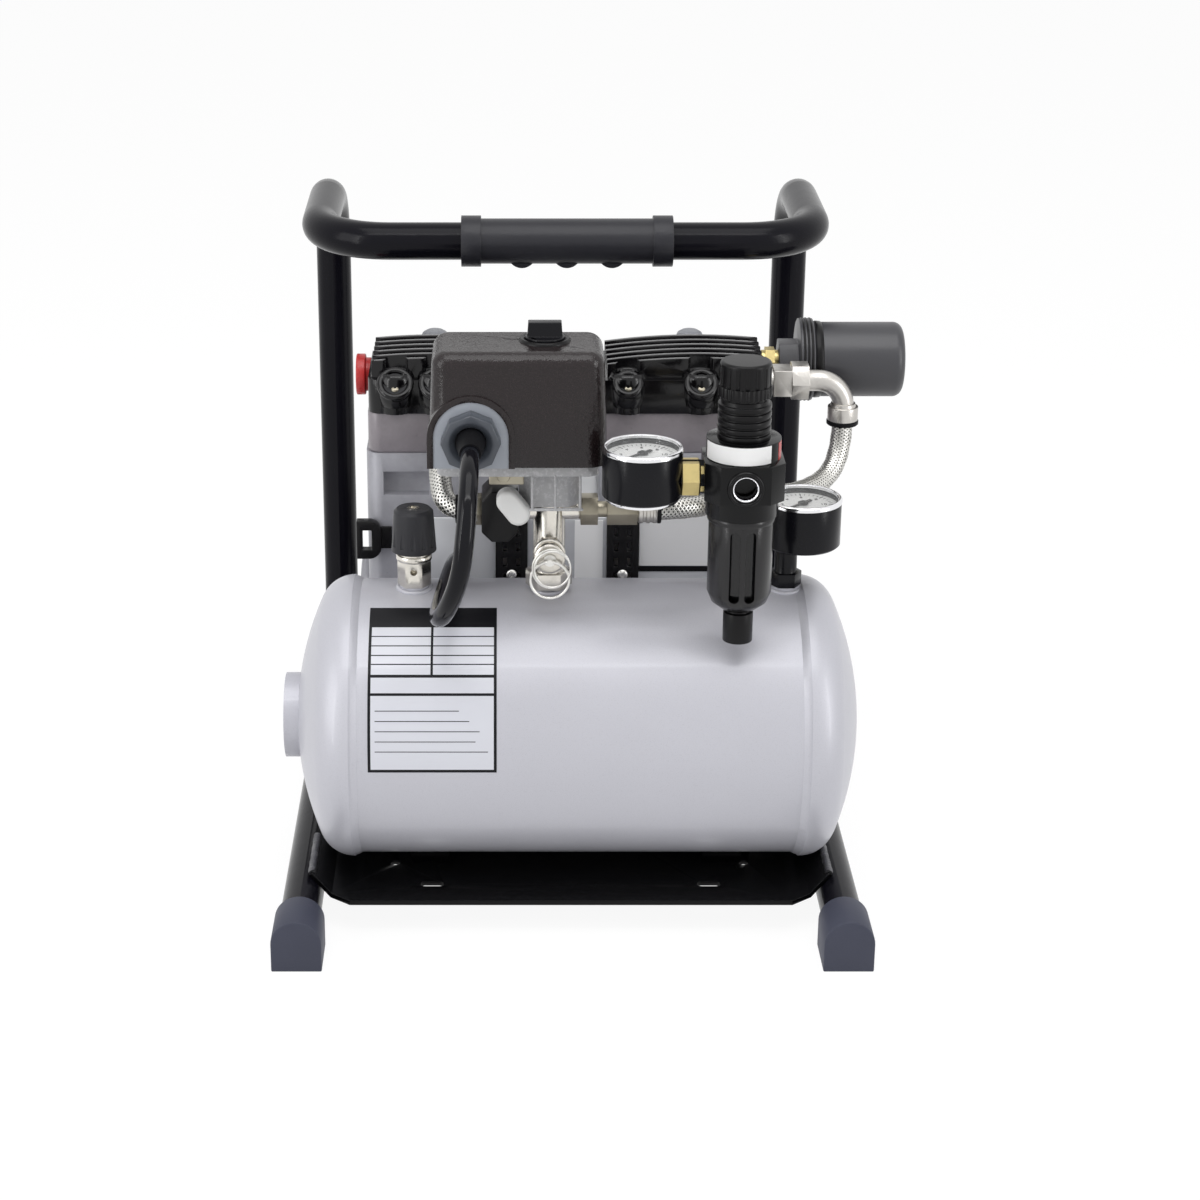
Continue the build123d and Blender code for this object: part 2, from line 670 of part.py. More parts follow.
head_inset = 1.5
screw_places = [(x, front_y + SCREW_INSET) for x in FRONT_SCREW_XS]
screw_places += [(x, back_y - SCREW_INSET) for x in REAR_SCREW_XS]
with BuildPart() as cylinder_heads:
    for side in CENTRES:
        inner, outer = BLOCK_IN + head_inset, BLOCK_OUT - head_inset
        low, high = sided(side, inner, outer)
        casting(side, inner, outer, front_y, back_y, BLOCK_TOP, HEAD_BASE_TOP, CASTING_R - 1)
        ribs_front = front_y + SCREW_INSET + 1
        for step in range(RIB_COUNT):
            rib_y = ribs_front + step * RIB_PITCH
            block((low + 2, rib_y, HEAD_BASE_TOP), (high - 2, rib_y + RIB_T, HEAD_TOP))
        block(
            (low - 1, back_y - HEAD_LEDGE, LEDGE_Z),
            (high + 1, back_y + 1, HEAD_TOP),
            mode=Mode.SUBTRACT,
        )
        # the ribs' tops follow one shallow arc from end to end
        crown_in = (FRAME_X + side * (inner - 2), HEAD_TOP - CROWN_IN_DROP)
        crown_mid = (FRAME_X + side * (inner + outer + 8) / 2, HEAD_TOP)
        crown_out = (FRAME_X + side * (outer + 2), HEAD_TOP - CROWN_OUT_DROP)
        with BuildSketch(Plane.XZ) as above_crown:
            with BuildLine():
                ThreePointArc(crown_in, crown_mid, crown_out)
                Polyline(
                    crown_out,
                    (crown_out[0], HEAD_TOP + 5),
                    (crown_in[0], HEAD_TOP + 5),
                    crown_in,
                )
            make_face()
        extrude(above_crown.sketch, amount=300, both=True, mode=Mode.SUBTRACT)
        for x, y in screw_places:
            x = FRAME_X + side * x
            boss_top = (HEAD_BASE_TOP if y < SHAFT_Y else LEDGE_Z) + 2.5
            rod(Plane(origin=(x, y, BLOCK_TOP)), SCREW_BOSS_R, boss_top - BLOCK_TOP)
            pocket = Plane(origin=(x, y, SCREW_SEAT_Z))
            rod(pocket, SCREW_POCKET_R, THROUGH, mode=Mode.SUBTRACT)
save(cylinder_heads, "cylinder_heads")

with BuildPart() as head_screws:
    for side in CENTRES:
        for x, y in screw_places:
            seat = Plane(origin=(FRAME_X + side * x, y, SCREW_SEAT_Z))
            rod(seat, SCREW_HEAD_R, 4.5)
            nut(seat.offset(2), 4.2, 3, mode=Mode.SUBTRACT)
save(head_screws, "head_screws")

with BuildPart() as head_plugs:
    for side, plug_x in zip(CENTRES, HEAD_PLUG_XS):
        plug = Plane(origin=(FRAME_X + side * plug_x, back_y - HEAD_LEDGE / 2, 0))
        plug_top = LEDGE_Z + HEAD_PLUG_RISE
        turn(
            [
                (0, LEDGE_Z),
                (HEAD_PLUG_R, LEDGE_Z),
                (HEAD_PLUG_R, plug_top - 4),
                (HEAD_PLUG_R - 1, plug_top - 1.5),
                (HEAD_PLUG_R - 3.5, plug_top),
                (0, plug_top),
            ],
            plug,
        )
save(head_plugs, "head_plugs")

port_cap_y = SHAFT_Y + 6.0
head_left_face = FRAME_X - BLOCK_OUT + head_inset
with BuildPart() as port_cap:
    cap_plane = axis_plane(head_left_face, port_cap_y, BLOCK_TOP + 9, (-1, 0, 0), (0, 1, 0))
    rod(cap_plane, PORT_CAP_R - 2, 3)
    rod(cap_plane.offset(3), PORT_CAP_R, 5)
save(port_cap, "port_cap")

# ---- Motor ----
with BuildPart() as stator_core:
    with BuildSketch(shaft_plane(-STATOR_L / 2)) as lamination:
        RectangleRounded(STATOR_W, STATOR_W, 8)
        Circle(STATOR_BORE, mode=Mode.SUBTRACT)
    extrude(lamination.sketch, amount=STATOR_L)
    for side in CENTRES:
        pipe(shaft_plane(STATOR_L / 2, side), WINDING_R, STATOR_BORE + 1, WINDING_L)
save(stator_core, "stator_core")

with BuildPart() as rotor:
    pipe(shaft_plane(-STATOR_L / 2), ROTOR_R, SHAFT_R + FIT, STATOR_L)
save(rotor, "rotor")

with BuildPart() as crankshaft:
    rod(shaft_plane(-WEB_X), SHAFT_R, 2 * WEB_X)
    for side in CENTRES:
        rod(shaft_plane(WEB_X, side), WEB_R, WEB_T)
        pin = shaft_plane(WEB_X + WEB_T, side)
        with BuildSketch(pin) as crank_pin:
            with Locations((THROW, 0)):
                Circle(CRANK_PIN_R)
        extrude(crank_pin.sketch, amount=CYLINDER_X + ROD_T / 2 - WEB_X - WEB_T)
save(crankshaft, "crankshaft")

with BuildPart() as shaft_bearings:
    for side in CENTRES:
        pipe(shaft_plane(BEARING_IN, side), BEARING_R, SHAFT_R + RUNNING, BEARING_W)
save(shaft_bearings, "shaft_bearings")

with BuildPart() as cooling_fans:
    for side in CENTRES:
        hub = shaft_plane(FAN_X, side)
        rod(hub, 12, FAN_T)
        rod(hub, FAN_R, 1.5)
        for blade in range(FAN_BLADES):
            with BuildSketch(hub) as blade_face:
                with PolarLocations(20, 1, start_angle=blade * 360 / FAN_BLADES):
                    Rectangle(18, 2)
            extrude(blade_face.sketch, amount=FAN_T)
        rod(hub.offset(-1), SHAFT_R + FIT, FAN_T + 2, mode=Mode.SUBTRACT)
save(cooling_fans, "cooling_fans")


def build_piston(side):
    """A rocking piston: disc, rod and big end in one piece, at mid stroke."""
    with BuildPart() as piston:
        rod(bore_plane(side, PISTON_TOP - PISTON_T), PISTON_R, PISTON_T)
        across = shaft_plane(CYLINDER_X - ROD_T / 2, side)
        rod(across, BIG_END_R, ROD_T)
        x = FRAME_X + side * CYLINDER_X
        block(
            (x - ROD_T / 2, SHAFT_Y - 5, SHAFT_Z), (x + ROD_T / 2, SHAFT_Y + 5, PISTON_TOP - 2)
        )
        rod(across.offset(-1), BIG_END_BORE, ROD_T + 2, mode=Mode.SUBTRACT)
    return piston


piston_left = build_piston(-1)
save(piston_left, "piston_left")
piston_right = build_piston(1)
save(piston_right, "piston_right")

with BuildPart() as motor_mounts:
    for side in CENTRES:
        for y in (front_y + MOUNT_INSET, back_y - MOUNT_INSET):
            foot = Plane(origin=(FRAME_X + side * CYLINDER_X, y, PLATE_TOP))
            rod(foot, MOUNT_R, CASE_BOTTOM - PLATE_TOP)
save(motor_mounts, "motor_mounts")

shroud_half = SHROUD_W / 2
with BuildPart() as motor_shroud:
    block(
        (FRAME_X - shroud_half, SHROUD_FRONT, SHROUD_BOTTOM),
        (FRAME_X + shroud_half, SHROUD_FRONT + SHROUD_T, SHROUD_TOP),
    )
    inner = CASE_IN - 8
    block(
        (FRAME_X - inner, SHROUD_FRONT, SHROUD_TOP - SHROUD_T),
        (FRAME_X + inner, back_y + 3.5, SHROUD_TOP),
    )
    block(
        (FRAME_X - inner, back_y + 3.5 - SHROUD_T, SHROUD_REAR_BOTTOM),
        (FRAME_X + inner, back_y + 3.5, SHROUD_TOP),
    )
    for side in CENTRES:
        x = FRAME_X + side * VENT_X
        block(
            (x - VENT_W / 2 + 2, SHROUD_FRONT - 1, SHROUD_BOTTOM + 7),
            (x + VENT_W / 2 - 2, SHROUD_FRONT + SHROUD_T + 0.1, SHROUD_TOP - 4),
            mode=Mode.SUBTRACT,
        )
save(motor_shroud, "motor_shroud")

vent_mid = (SHROUD_BOTTOM + SHROUD_TOP) / 2
with BuildPart() as vent_strips:
    for side in CENTRES:
        x = FRAME_X + side * VENT_X
        block(
            (x - VENT_W / 2, SHROUD_FRONT - VENT_T, SHROUD_BOTTOM + 4),
            (x + VENT_W / 2, SHROUD_FRONT, SHROUD_TOP),
        )
        face = axis_plane(x, SHROUD_FRONT + 1, vent_mid, (0, -1, 0), (1, 0, 0))
        with BuildSketch(face) as vent_holes:
            with GridLocations(7, VENT_SLOT_PITCH, 2, VENT_SLOTS):
                Rectangle(VENT_SLOT_W, VENT_SLOT_L)
        extrude(vent_holes.sketch, amount=VENT_T + 2, mode=Mode.SUBTRACT)
save(vent_strips, "vent_strips")

clip_x = FRAME_X - BLOCK_OUT
with BuildPart() as cable_clip:
    clip_plane = axis_plane(clip_x + 1, front_y, CLIP_Z, (0, -1, 0), (1, 0, 0))
    with BuildSketch(clip_plane) as clip_face:
        SlotOverall(21, 13, rotation=90)
        with Locations((-3.25, 0)):
            Rectangle(6.5, 21)
        with Locations((-1, 0)):
            Rectangle(5, 11, mode=Mode.SUBTRACT)
    extrude(clip_face.sketch, amount=6)
    with BuildSketch(clip_plane) as clip_tab:
        with Locations((CASTING_R, 0)):
            Rectangle(CASTING_R, 12)
    extrude(clip_tab.sketch, amount=2)
save(cable_clip, "cable_clip")

# ---- Pressure switch ----
switch_plane = Plane(origin=(SWITCH_X, SWITCH_Y, SWITCH_BOTTOM))
cover_front = SWITCH_Y - SWITCH_D / 2
arch_depth = SWITCH_WALL + 4


def arch(place, radius, drop, length, mode=Mode.ADD):
    """A round-topped tongue that hangs down from its arch's centre."""
    with BuildSketch(place) as outline:
        Circle(radius)
        with Locations((0, -radius)):
            Rectangle(2 * radius, 2 * radius)
        with Locations((0, -drop - 2 * radius)):
            Rectangle(4 * radius, 4 * radius, mode=Mode.SUBTRACT)
    extrude(outline.sketch, amount=length, mode=mode)


arch_plane = axis_plane(GLAND_X, cover_front + arch_depth, GLAND_Z, (0, -1, 0), (1, 0, 0))
arch_drop = GLAND_Z - SWITCH_BOTTOM
with BuildPart() as switch_cover:
    with BuildSketch(switch_plane) as cover_foot:
        RectangleRounded(SWITCH_W, SWITCH_D, SWITCH_CORNER_R)
    extrude(cover_foot.sketch, amount=SWITCH_H, taper=SWITCH_DRAFT)
    fillet(switch_cover.faces().sort_by(Axis.Z)[-1].edges(), SWITCH_TOP_R)
    with BuildSketch(switch_plane) as cover_inside:
        RectangleRounded(
            SWITCH_W - 2 * SWITCH_WALL, SWITCH_D - 2 * SWITCH_WALL, SWITCH_CORNER_R - SWITCH_WALL
        )
    extrude(
        cover_inside.sketch,
        amount=SWITCH_H - SWITCH_WALL,
        taper=SWITCH_DRAFT,
        mode=Mode.SUBTRACT,
    )
    arch(arch_plane, ARCH_R + ARCH_RIM, arch_drop, arch_depth + 1.5)
    arch(arch_plane.offset(-2), ARCH_R + FIT, arch_drop + 1, arch_depth + 20, mode=Mode.SUBTRACT)
    knob_hole = Plane(origin=(SWITCH_KNOB_X, SWITCH_KNOB_Y, SWITCH_TOP - 8))
    rod(knob_hole, KNOB_SHAFT_R + RUNNING, 20, mode=Mode.SUBTRACT)
save(switch_cover, "switch_cover")

flange_plane = Plane(origin=(MANIFOLD_X, TANK_Y, FLANGE_BOTTOM))
base_low = SWITCH_BOTTOM - FLANGE_BASE_T
with BuildPart() as switch_base:
    with BuildSketch(Plane(origin=(SWITCH_X, SWITCH_Y, base_low))) as base_face:
        RectangleRounded(SWITCH_W - 8, SWITCH_D - 8, SWITCH_CORNER_R - 4)
    extrude(base_face.sketch, amount=FLANGE_BASE_T)
    with BuildSketch(flange_plane) as flange_face:
        flange_square = Rectangle(FLANGE_W, FLANGE_W)
        chamfer(flange_face.vertices(), FLANGE_CHAMFER)
    extrude(flange_face.sketch, amount=base_low - FLANGE_BOTTOM)
    rod(flange_plane.offset(-1), PORT_R, 8, mode=Mode.SUBTRACT)
save(switch_base, "switch_base")

knob_plane = Plane(origin=(SWITCH_KNOB_X, SWITCH_KNOB_Y, SWITCH_TOP + CLEAR))
with BuildPart() as switch_knob:
    rod(knob_plane, 9.5, 2)
    with BuildSketch(knob_plane.offset(2)) as grip_face:
        RectangleRounded(17, 7, 1)
    extrude(grip_face.sketch, amount=7, taper=4)
    rod(knob_plane.offset(-14), KNOB_SHAFT_R, 14)
save(switch_knob, "switch_knob")

with BuildPart() as gland_plate:
    arch(arch_plane, ARCH_R, arch_drop, arch_depth + 1)
    rod(arch_plane.offset(-1), GLAND_BORE, 30, mode=Mode.SUBTRACT)
save(gland_plate, "gland_plate")

plate_face_y = cover_front - 1
with BuildPart() as gland_nut:
    nut_plane = axis_plane(GLAND_X, plate_face_y, GLAND_Z, (0, -1, 0), (1, 0, 0))
    nut(nut_plane, GLAND_NUT_W, plate_face_y - GLAND_NUT_FRONT, sides=8)
    rod(nut_plane.offset(-1), GLAND_BORE, 30, mode=Mode.SUBTRACT)
    chamfer(gland_nut.edges().group_by(Axis.Y)[0].filter_by(GeomType.CIRCLE), 3)
save(gland_nut, "gland_nut")

# ---- Manifold and what hangs on it ----
column_plane = Plane(origin=(MANIFOLD_X, TANK_Y, BOSS_TOP))
arm_left = axis_plane(MANIFOLD_X, TANK_Y, PORT_Z, (-1, 0, 0), (0, 1, 0))
arm_right = axis_plane(MANIFOLD_X, TANK_Y, PORT_Z, (1, 0, 0), (0, 1, 0))
relief_arm = axis_plane(MANIFOLD_X, TANK_Y, RELIEF_Z, (0, -1, 0), (1, 0, 0))
check_right = MANIFOLD_X - FLANGE_W / 2 - CLEAR
adaptor_left = MANIFOLD_X + FLANGE_W / 2 + 0.5
with BuildPart() as manifold:
    rod(column_plane.offset(-THREAD_L), PORT_R - FIT, THREAD_L)
    nut(column_plane, MANIFOLD_HEX, 8)
    rod(column_plane, COLUMN_R, FLANGE_BOTTOM - BOSS_TOP)
    rod(arm_left, ARM_R, MANIFOLD_X - check_right)
    rod(arm_right, ARM_R, adaptor_left - MANIFOLD_X)
    rod(relief_arm, ARM_R, COLUMN_R + 4)
save(manifold, "manifold")

relief_start = COLUMN_R + 4
relief_length = TANK_Y - RELIEF_FRONT - relief_start
with BuildPart() as safety_valve_body:
    nut(relief_arm.offset(relief_start), 13, 6)
    rod(relief_arm.offset(relief_start), RELIEF_R, relief_length)
    rod(relief_arm.offset(relief_start + 2), RELIEF_BORE, relief_length, mode=Mode.SUBTRACT)
save(safety_valve_body, "safety_valve_body")

ring_plane = axis_plane(MANIFOLD_X, RELIEF_FRONT - 3.4, RELIEF_Z - RING_R, (0, -1, 0), (1, 0, 0))
with BuildPart() as safety_valve_ring:
    rod(relief_arm.offset(relief_start + 2.2), RELIEF_BORE - RUNNING, relief_length + 2.8)
    rod(relief_arm.offset(relief_start + relief_length + CLEAR), 3, 1.6)
    with BuildSketch(
        axis_plane(MANIFOLD_X + RING_R, RELIEF_FRONT - 3.4, RELIEF_Z - RING_R, (0, 0, 1), (1, 0, 0))
    ) as ring_wire:
        Circle(RING_WIRE)
    revolve(
        ring_wire.sketch,
        axis=Axis((MANIFOLD_X, RELIEF_FRONT - 3.4, RELIEF_Z - RING_R), (0, 1, 0)),
    )
save(safety_valve_ring, "safety_valve_ring")

check_mid = check_right - CHECK_W / 2
check_front = TANK_Y - FLANGE_W / 2 - CLEAR
with BuildPart() as check_valve:
    with BuildSketch(
        axis_plane(check_mid, TANK_Y + CHECK_BACK, PORT_Z + 1, (0, -1, 0), (1, 0, 0))
    ) as check_face:
        check_outline = Rectangle(CHECK_W, CHECK_H)
        chamfer(check_face.vertices(), 5)
    extrude(check_face.sketch, amount=TANK_Y + CHECK_BACK - check_front)
save(check_valve, "check_valve")

with BuildPart() as check_valve_cap:
    with BuildSketch(
        axis_plane(check_mid + 6.5, check_front, PORT_Z + 8, (0, -1, 0), (1, 0, 0))
    ) as cap_face:
        SlotOverall(CAP_L, CAP_W, rotation=CAP_TILT)
    extrude(cap_face.sketch, amount=8)
    fillet(check_valve_cap.faces().sort_by(Axis.Y)[0].edges(), 2)
save(check_valve_cap, "check_valve_cap")

check_left = check_right - CHECK_W
with BuildPart() as pipe_fittings:
    left_port = axis_plane(check_left, TANK_Y, PORT_Z, (-1, 0, 0), (0, 1, 0))
    nut(left_port, UNION_HEX, 6)
    rod(left_port, HOSE_R - 1, check_left - LEFT_HOSE_START)
    right_port = axis_plane(adaptor_left, TANK_Y, PORT_Z, (1, 0, 0), (0, 1, 0))
    nut(right_port, UNION_HEX, 8.5)
    rod(right_port, 4, 14)
    nut(right_port.offset(13), UNION_HEX, 15)
    rod(right_port.offset(13), HOSE_R, RIGHT_HOSE_START - adaptor_left - 13)
save(pipe_fittings, "pipe_fittings")

# ---- Fittings on the heads ----
head_right_face = FRAME_X + BLOCK_OUT - head_inset
outlet_plane = axis_plane(head_right_face, OUTLET_Y, OUTLET_Z, (1, 0, 0), (0, 1, 0))
nut_place = axis_plane(OUTLET_NUT_X, OUTLET_Y, OUTLET_Z, (1, 0, 0), (0, 1, 0))
hose_top = OUTLET_Z - ELBOW_R - 9.0
left_outlet = axis_plane(FRAME_X - LEFT_OUTLET_X, front_y, LEFT_OUTLET_Z, (0, -1, 0), (1, 0, 0))
with BuildPart() as outlet_fittings:
    rod(outlet_plane, 6, 5)
    block(
        (head_right_face + 3, OUTLET_Y - 7, OUTLET_Z - 7),
        (OUTLET_NUT_X, OUTLET_Y + 7, OUTLET_Z + 7),
    )
    nut(nut_place, 18, OUTLET_NUT_L)
    with BuildLine() as elbow_line:
        elbow_start = Line(
            (OUTLET_NUT_X + OUTLET_NUT_L, OUTLET_Y, OUTLET_Z),
            (ELBOW_X - ELBOW_R, OUTLET_Y, OUTLET_Z),
        )
        TangentArc(
            elbow_start @ 1, (ELBOW_X, OUTLET_Y, OUTLET_Z - ELBOW_R), tangent=elbow_start % 1
        )
    with BuildSketch(nut_place.offset(OUTLET_NUT_L)) as ring:
        Circle(5.6)
    sweep(ring.sketch, path=elbow_line.line)
    ferrule = axis_plane(ELBOW_X, OUTLET_Y, OUTLET_Z - ELBOW_R, (0, 0, -1), (1, 0, 0))
    rod(ferrule, 8, 9)
    nut(left_outlet, UNION_HEX, 6)
    rod(left_outlet, HOSE_R, 14)
save(outlet_fittings, "outlet_fittings")

intake_plane = axis_plane(head_right_face, INTAKE_Y, INTAKE_Z, (1, 0, 0), (0, 1, 0))
with BuildPart() as intake_nipple:
    rod(intake_plane, 5, 9)
    nut(intake_plane.offset(2), 12, 5)
save(intake_nipple, "intake_nipple")

nipple_end = head_right_face + 9
with BuildPart() as intake_filter_base:
    adaptor = axis_plane(nipple_end, INTAKE_Y, INTAKE_Z, (1, 0, 0), (0, 1, 0))
    nut(adaptor, 20, INTAKE_FLANGE_X - nipple_end)
    flange = adaptor.offset(INTAKE_FLANGE_X - nipple_end)
    rod(flange, INTAKE_FLANGE_R, INTAKE_COVER_X - INTAKE_FLANGE_X - CLEAR)
    rod(flange, INTAKE_R - 2 - CLEAR, INTAKE_COVER_X - INTAKE_FLANGE_X + 5)
save(intake_filter_base, "intake_filter_base")

cover_l = INTAKE_END_X - INTAKE_COVER_X
with BuildPart() as intake_filter_cover:
    cover_plane = axis_plane(INTAKE_COVER_X, INTAKE_Y, INTAKE_Z, (1, 0, 0), (0, 1, 0))
    rod(cover_plane, INTAKE_R, cover_l)
    fillet(intake_filter_cover.edges().group_by(Axis.X)[-1], 5)
    rod(cover_plane.offset(-1), INTAKE_R - 2, cover_l - 1, mode=Mode.SUBTRACT)
save(intake_filter_cover, "intake_filter_cover")

# ---- Hoses ----
left_route = [
    (LEFT_HOSE_START, TANK_Y, PORT_Z),
    (LEFT_HOSE_START - 11.0, TANK_Y, PORT_Z),
    (LEFT_HOSE_START - 14.5, TANK_Y + 14.0, PORT_Z + 11.0),
    (LEFT_HOSE_START - 14.0, TANK_Y + 32.0, PORT_Z + 23.0),
    (FRAME_X - LEFT_OUTLET_X - 7.0, front_y - 35.0, LEFT_OUTLET_Z - 3.0),
    (FRAME_X - LEFT_OUTLET_X, front_y - 24.0, LEFT_OUTLET_Z),
    (FRAME_X - LEFT_OUTLET_X, front_y - 14.0, LEFT_OUTLET_Z),
]
right_route = [
    (RIGHT_HOSE_START, TANK_Y, PORT_Z),
    (RIGHT_HOSE_START + 15.0, TANK_Y, PORT_Z),
    (REGULATOR_X - 3.3, TANK_Y + 19.0, PORT_Z - 3.0),
    (REGULATOR_X + 17.7, TANK_Y + 43.0, PORT_Z - 9.0),
    (ELBOW_X - 25.0, OUTLET_Y - 30.0, hose_top - 29.5),
    (ELBOW_X - 7.0, OUTLET_Y - 10.0, hose_top - 27.5),
    (ELBOW_X, OUTLET_Y, hose_top - 13.5),
    (ELBOW_X, OUTLET_Y, hose_top),
]
with BuildPart() as air_hoses:
    volumes = [cord_tube(route, HOSE_R, "air hose") for route in (left_route, right_route)]
print("hose volume share", round(air_hoses.part.volume / sum(volumes), 4))
save(air_hoses, "air_hoses")

# ---- Riser and filter-regulator ----
regulator_axis = Plane(origin=(REGULATOR_X, REGULATOR_Y, 0))
riser_plane = Plane(origin=(REGULATOR_X, TANK_Y, BOSS_TOP))
body_back = REGULATOR_Y + BODY_W / 2
with BuildPart() as outlet_riser:
    rod(riser_plane.offset(-THREAD_L), PORT_R - FIT, THREAD_L)
    nut(riser_plane, 14, 8)
    rod(riser_plane, RISER_R, REGULATOR_PORT_Z - BOSS_TOP)
    block(
        (REGULATOR_X - 8, TANK_Y - 8, REGULATOR_PORT_Z - 8),
        (REGULATOR_X + 8, TANK_Y + 8, REGULATOR_PORT_Z + 8),
    )
    forward = axis_plane(REGULATOR_X, TANK_Y, REGULATOR_PORT_Z, (0, -1, 0), (1, 0, 0))
    rod(forward, RISER_R, TANK_Y - body_back)
    nut(forward.offset(12), 16, 8)
save(outlet_riser, "outlet_riser")

gauge_port = axis_plane(
    REGULATOR_X - BODY_W / 2, REGULATOR_Y, REGULATOR_PORT_Z, (-1, 0, 0), (0, 1, 0)
)
outlet_port = axis_plane(
    REGULATOR_X, REGULATOR_Y - BODY_W / 2, REGULATOR_PORT_Z, (0, -1, 0), (1, 0, 0)
)
with BuildPart() as regulator_body:
    with BuildSketch(regulator_axis.offset(BODY_BOTTOM)) as body_face:
        body_square = Rectangle(BODY_W, BODY_W)
        chamfer(body_face.vertices(), 7)
    extrude(body_face.sketch, amount=BODY_TOP - BODY_BOTTOM)
    rod(regulator_axis.offset(BODY_TOP), BAND_R, BAND_TOP - BODY_TOP)
    rod(regulator_axis.offset(COLLAR_BOTTOM), COLLAR_R, BODY_BOTTOM - COLLAR_BOTTOM)
    pipe(outlet_port, OUTLET_R + 2.2, OUTLET_R, 0.8)
    rod(outlet_port.offset(1 - OUTLET_DEPTH), OUTLET_R, OUTLET_DEPTH + 2, mode=Mode.SUBTRACT)
save(regulator_body, "regulator_body")

rib_h = 2.4
with BuildPart() as regulator_bonnet:
    rod(regulator_axis.offset(BAND_TOP), BONNET_R - 1.2, BONNET_TOP - BAND_TOP)
    rib_pitch = (BONNET_TOP - BAND_TOP - 1) / 5
    for step in range(5):
        rod(regulator_axis.offset(BAND_TOP + step * rib_pitch), BONNET_R, rib_h)
    rod(regulator_axis.offset(BONNET_TOP), KNOB_R - 4, 6)
save(regulator_bonnet, "regulator_bonnet")

with BuildPart() as regulator_knob:
    rod(regulator_axis.offset(BONNET_TOP + CLEAR), KNOB_R, KNOB_TOP - BONNET_TOP - CLEAR)
    fillet(regulator_knob.faces().sort_by(Axis.Z)[-1].edges(), 1.5)
    rod(regulator_axis.offset(BONNET_TOP), KNOB_R - 4 + RUNNING, 6 + CLEAR, mode=Mode.SUBTRACT)
    with Locations((REGULATOR_X, REGULATOR_Y, (BONNET_TOP + KNOB_TOP) / 2 - 2)):
        with PolarLocations(KNOB_R + 1, 16):
            Cylinder(1.5, KNOB_TOP - BONNET_TOP, mode=Mode.SUBTRACT)
save(regulator_knob, "regulator_knob")

guard_top = COLLAR_BOTTOM - CLEAR
guard_neck = DRAIN_SCREW_R + 1.2
with BuildPart() as bowl_guard:
    turn(
        [
            (GUARD_R - GUARD_WALL, guard_top),
            (GUARD_R, guard_top),
            (GUARD_R, GUARD_BOTTOM + 9),
            (GUARD_R - 2, GUARD_BOTTOM + 4),
            (guard_neck, GUARD_BOTTOM),
            (guard_neck - 2, GUARD_BOTTOM),
            (guard_neck - 2, GUARD_BOTTOM + 2),
            (GUARD_R - GUARD_WALL - 2, GUARD_BOTTOM + 6),
            (GUARD_R - GUARD_WALL, GUARD_BOTTOM + 10),
        ],
        regulator_axis,
    )
    window_mid = (WINDOW_TOP + WINDOW_BOTTOM) / 2
    window_h = WINDOW_TOP - WINDOW_BOTTOM
    with BuildSketch(
        axis_plane(REGULATOR_X, REGULATOR_Y - 30, window_mid, (0, 1, 0), (1, 0, 0))
    ) as windows:
        with GridLocations(WINDOW_W + WINDOW_GAP, 0, 2, 1):
            SlotOverall(window_h, WINDOW_W, rotation=90)
    extrude(windows.sketch, amount=60, mode=Mode.SUBTRACT)
save(bowl_guard, "bowl_guard")

bowl_r = GUARD_R - GUARD_WALL - FIT
with BuildPart() as filter_bowl:
    turn(
        [
            (bowl_r - BOWL_WALL, guard_top),
            (bowl_r, guard_top),
            (bowl_r, GUARD_BOTTOM + 10.5),
            (bowl_r - 2.5, GUARD_BOTTOM + 6.5),
            (3.5, GUARD_BOTTOM + 3),
            (3.5, GUARD_BOTTOM + 5),
            (bowl_r - BOWL_WALL - 2, GUARD_BOTTOM + 9),
            (bowl_r - BOWL_WALL, GUARD_BOTTOM + 12),
        ],
        regulator_axis,
    )
save(filter_bowl, "filter_bowl")

with BuildPart() as bowl_drain:
    rod(regulator_axis.offset(DRAIN_SCREW_BOTTOM), DRAIN_SCREW_R, 15)
    rod(regulator_axis.offset(DRAIN_SCREW_BOTTOM + 15), 5.5, 5)
    rod(regulator_axis.offset(DRAIN_SCREW_BOTTOM + 20), 3.5 - RUNNING, 2.5)
    rod(regulator_axis.offset(DRAIN_SCREW_BOTTOM), 2, 30, mode=Mode.SUBTRACT)
save(bowl_drain, "bowl_drain")

# ---- Gauges ----
gauges = [
    (OUTLET_GAUGE_X, REGULATOR_Y, OUTLET_GAUGE_Z),
    (TANK_GAUGE_X, TANK_Y, TANK_GAUGE_Z),
]
with BuildPart() as gauge_cases:
    for x, y, z in gauges:
        place = Plane(origin=(x, y, z))
        turn(
            [
                (0, -GAUGE_H),
                (GAUGE_R - 1, -GAUGE_H),
                (GAUGE_R, 1 - GAUGE_H),
                (GAUGE_R, 0),
                (GAUGE_R - GAUGE_WALL, 0),
                (GAUGE_R - GAUGE_WALL, -DIAL_DROP - 1),
                (0, -DIAL_DROP - 1),
            ],
            place,
        )
    stem_start = OUTLET_GAUGE_X + GAUGE_R - 1
    stem_end = REGULATOR_X - BODY_W / 2
    stem = axis_plane(stem_start, REGULATOR_Y, REGULATOR_PORT_Z, (1, 0, 0), (0, 1, 0))
    nut(stem, 12, stem_end - stem_start, sides=4)
    tank_stem = Plane(origin=(TANK_GAUGE_PORT_X, TANK_Y, BOSS_TOP))
    rod(tank_stem.offset(-THREAD_L), PORT_R - FIT, THREAD_L)
    rod(tank_stem, 5.6, TANK_GAUGE_Z - GAUGE_H - BOSS_TOP)
    nut(tank_stem, 14, 7)
save(gauge_cases, "gauge_cases")

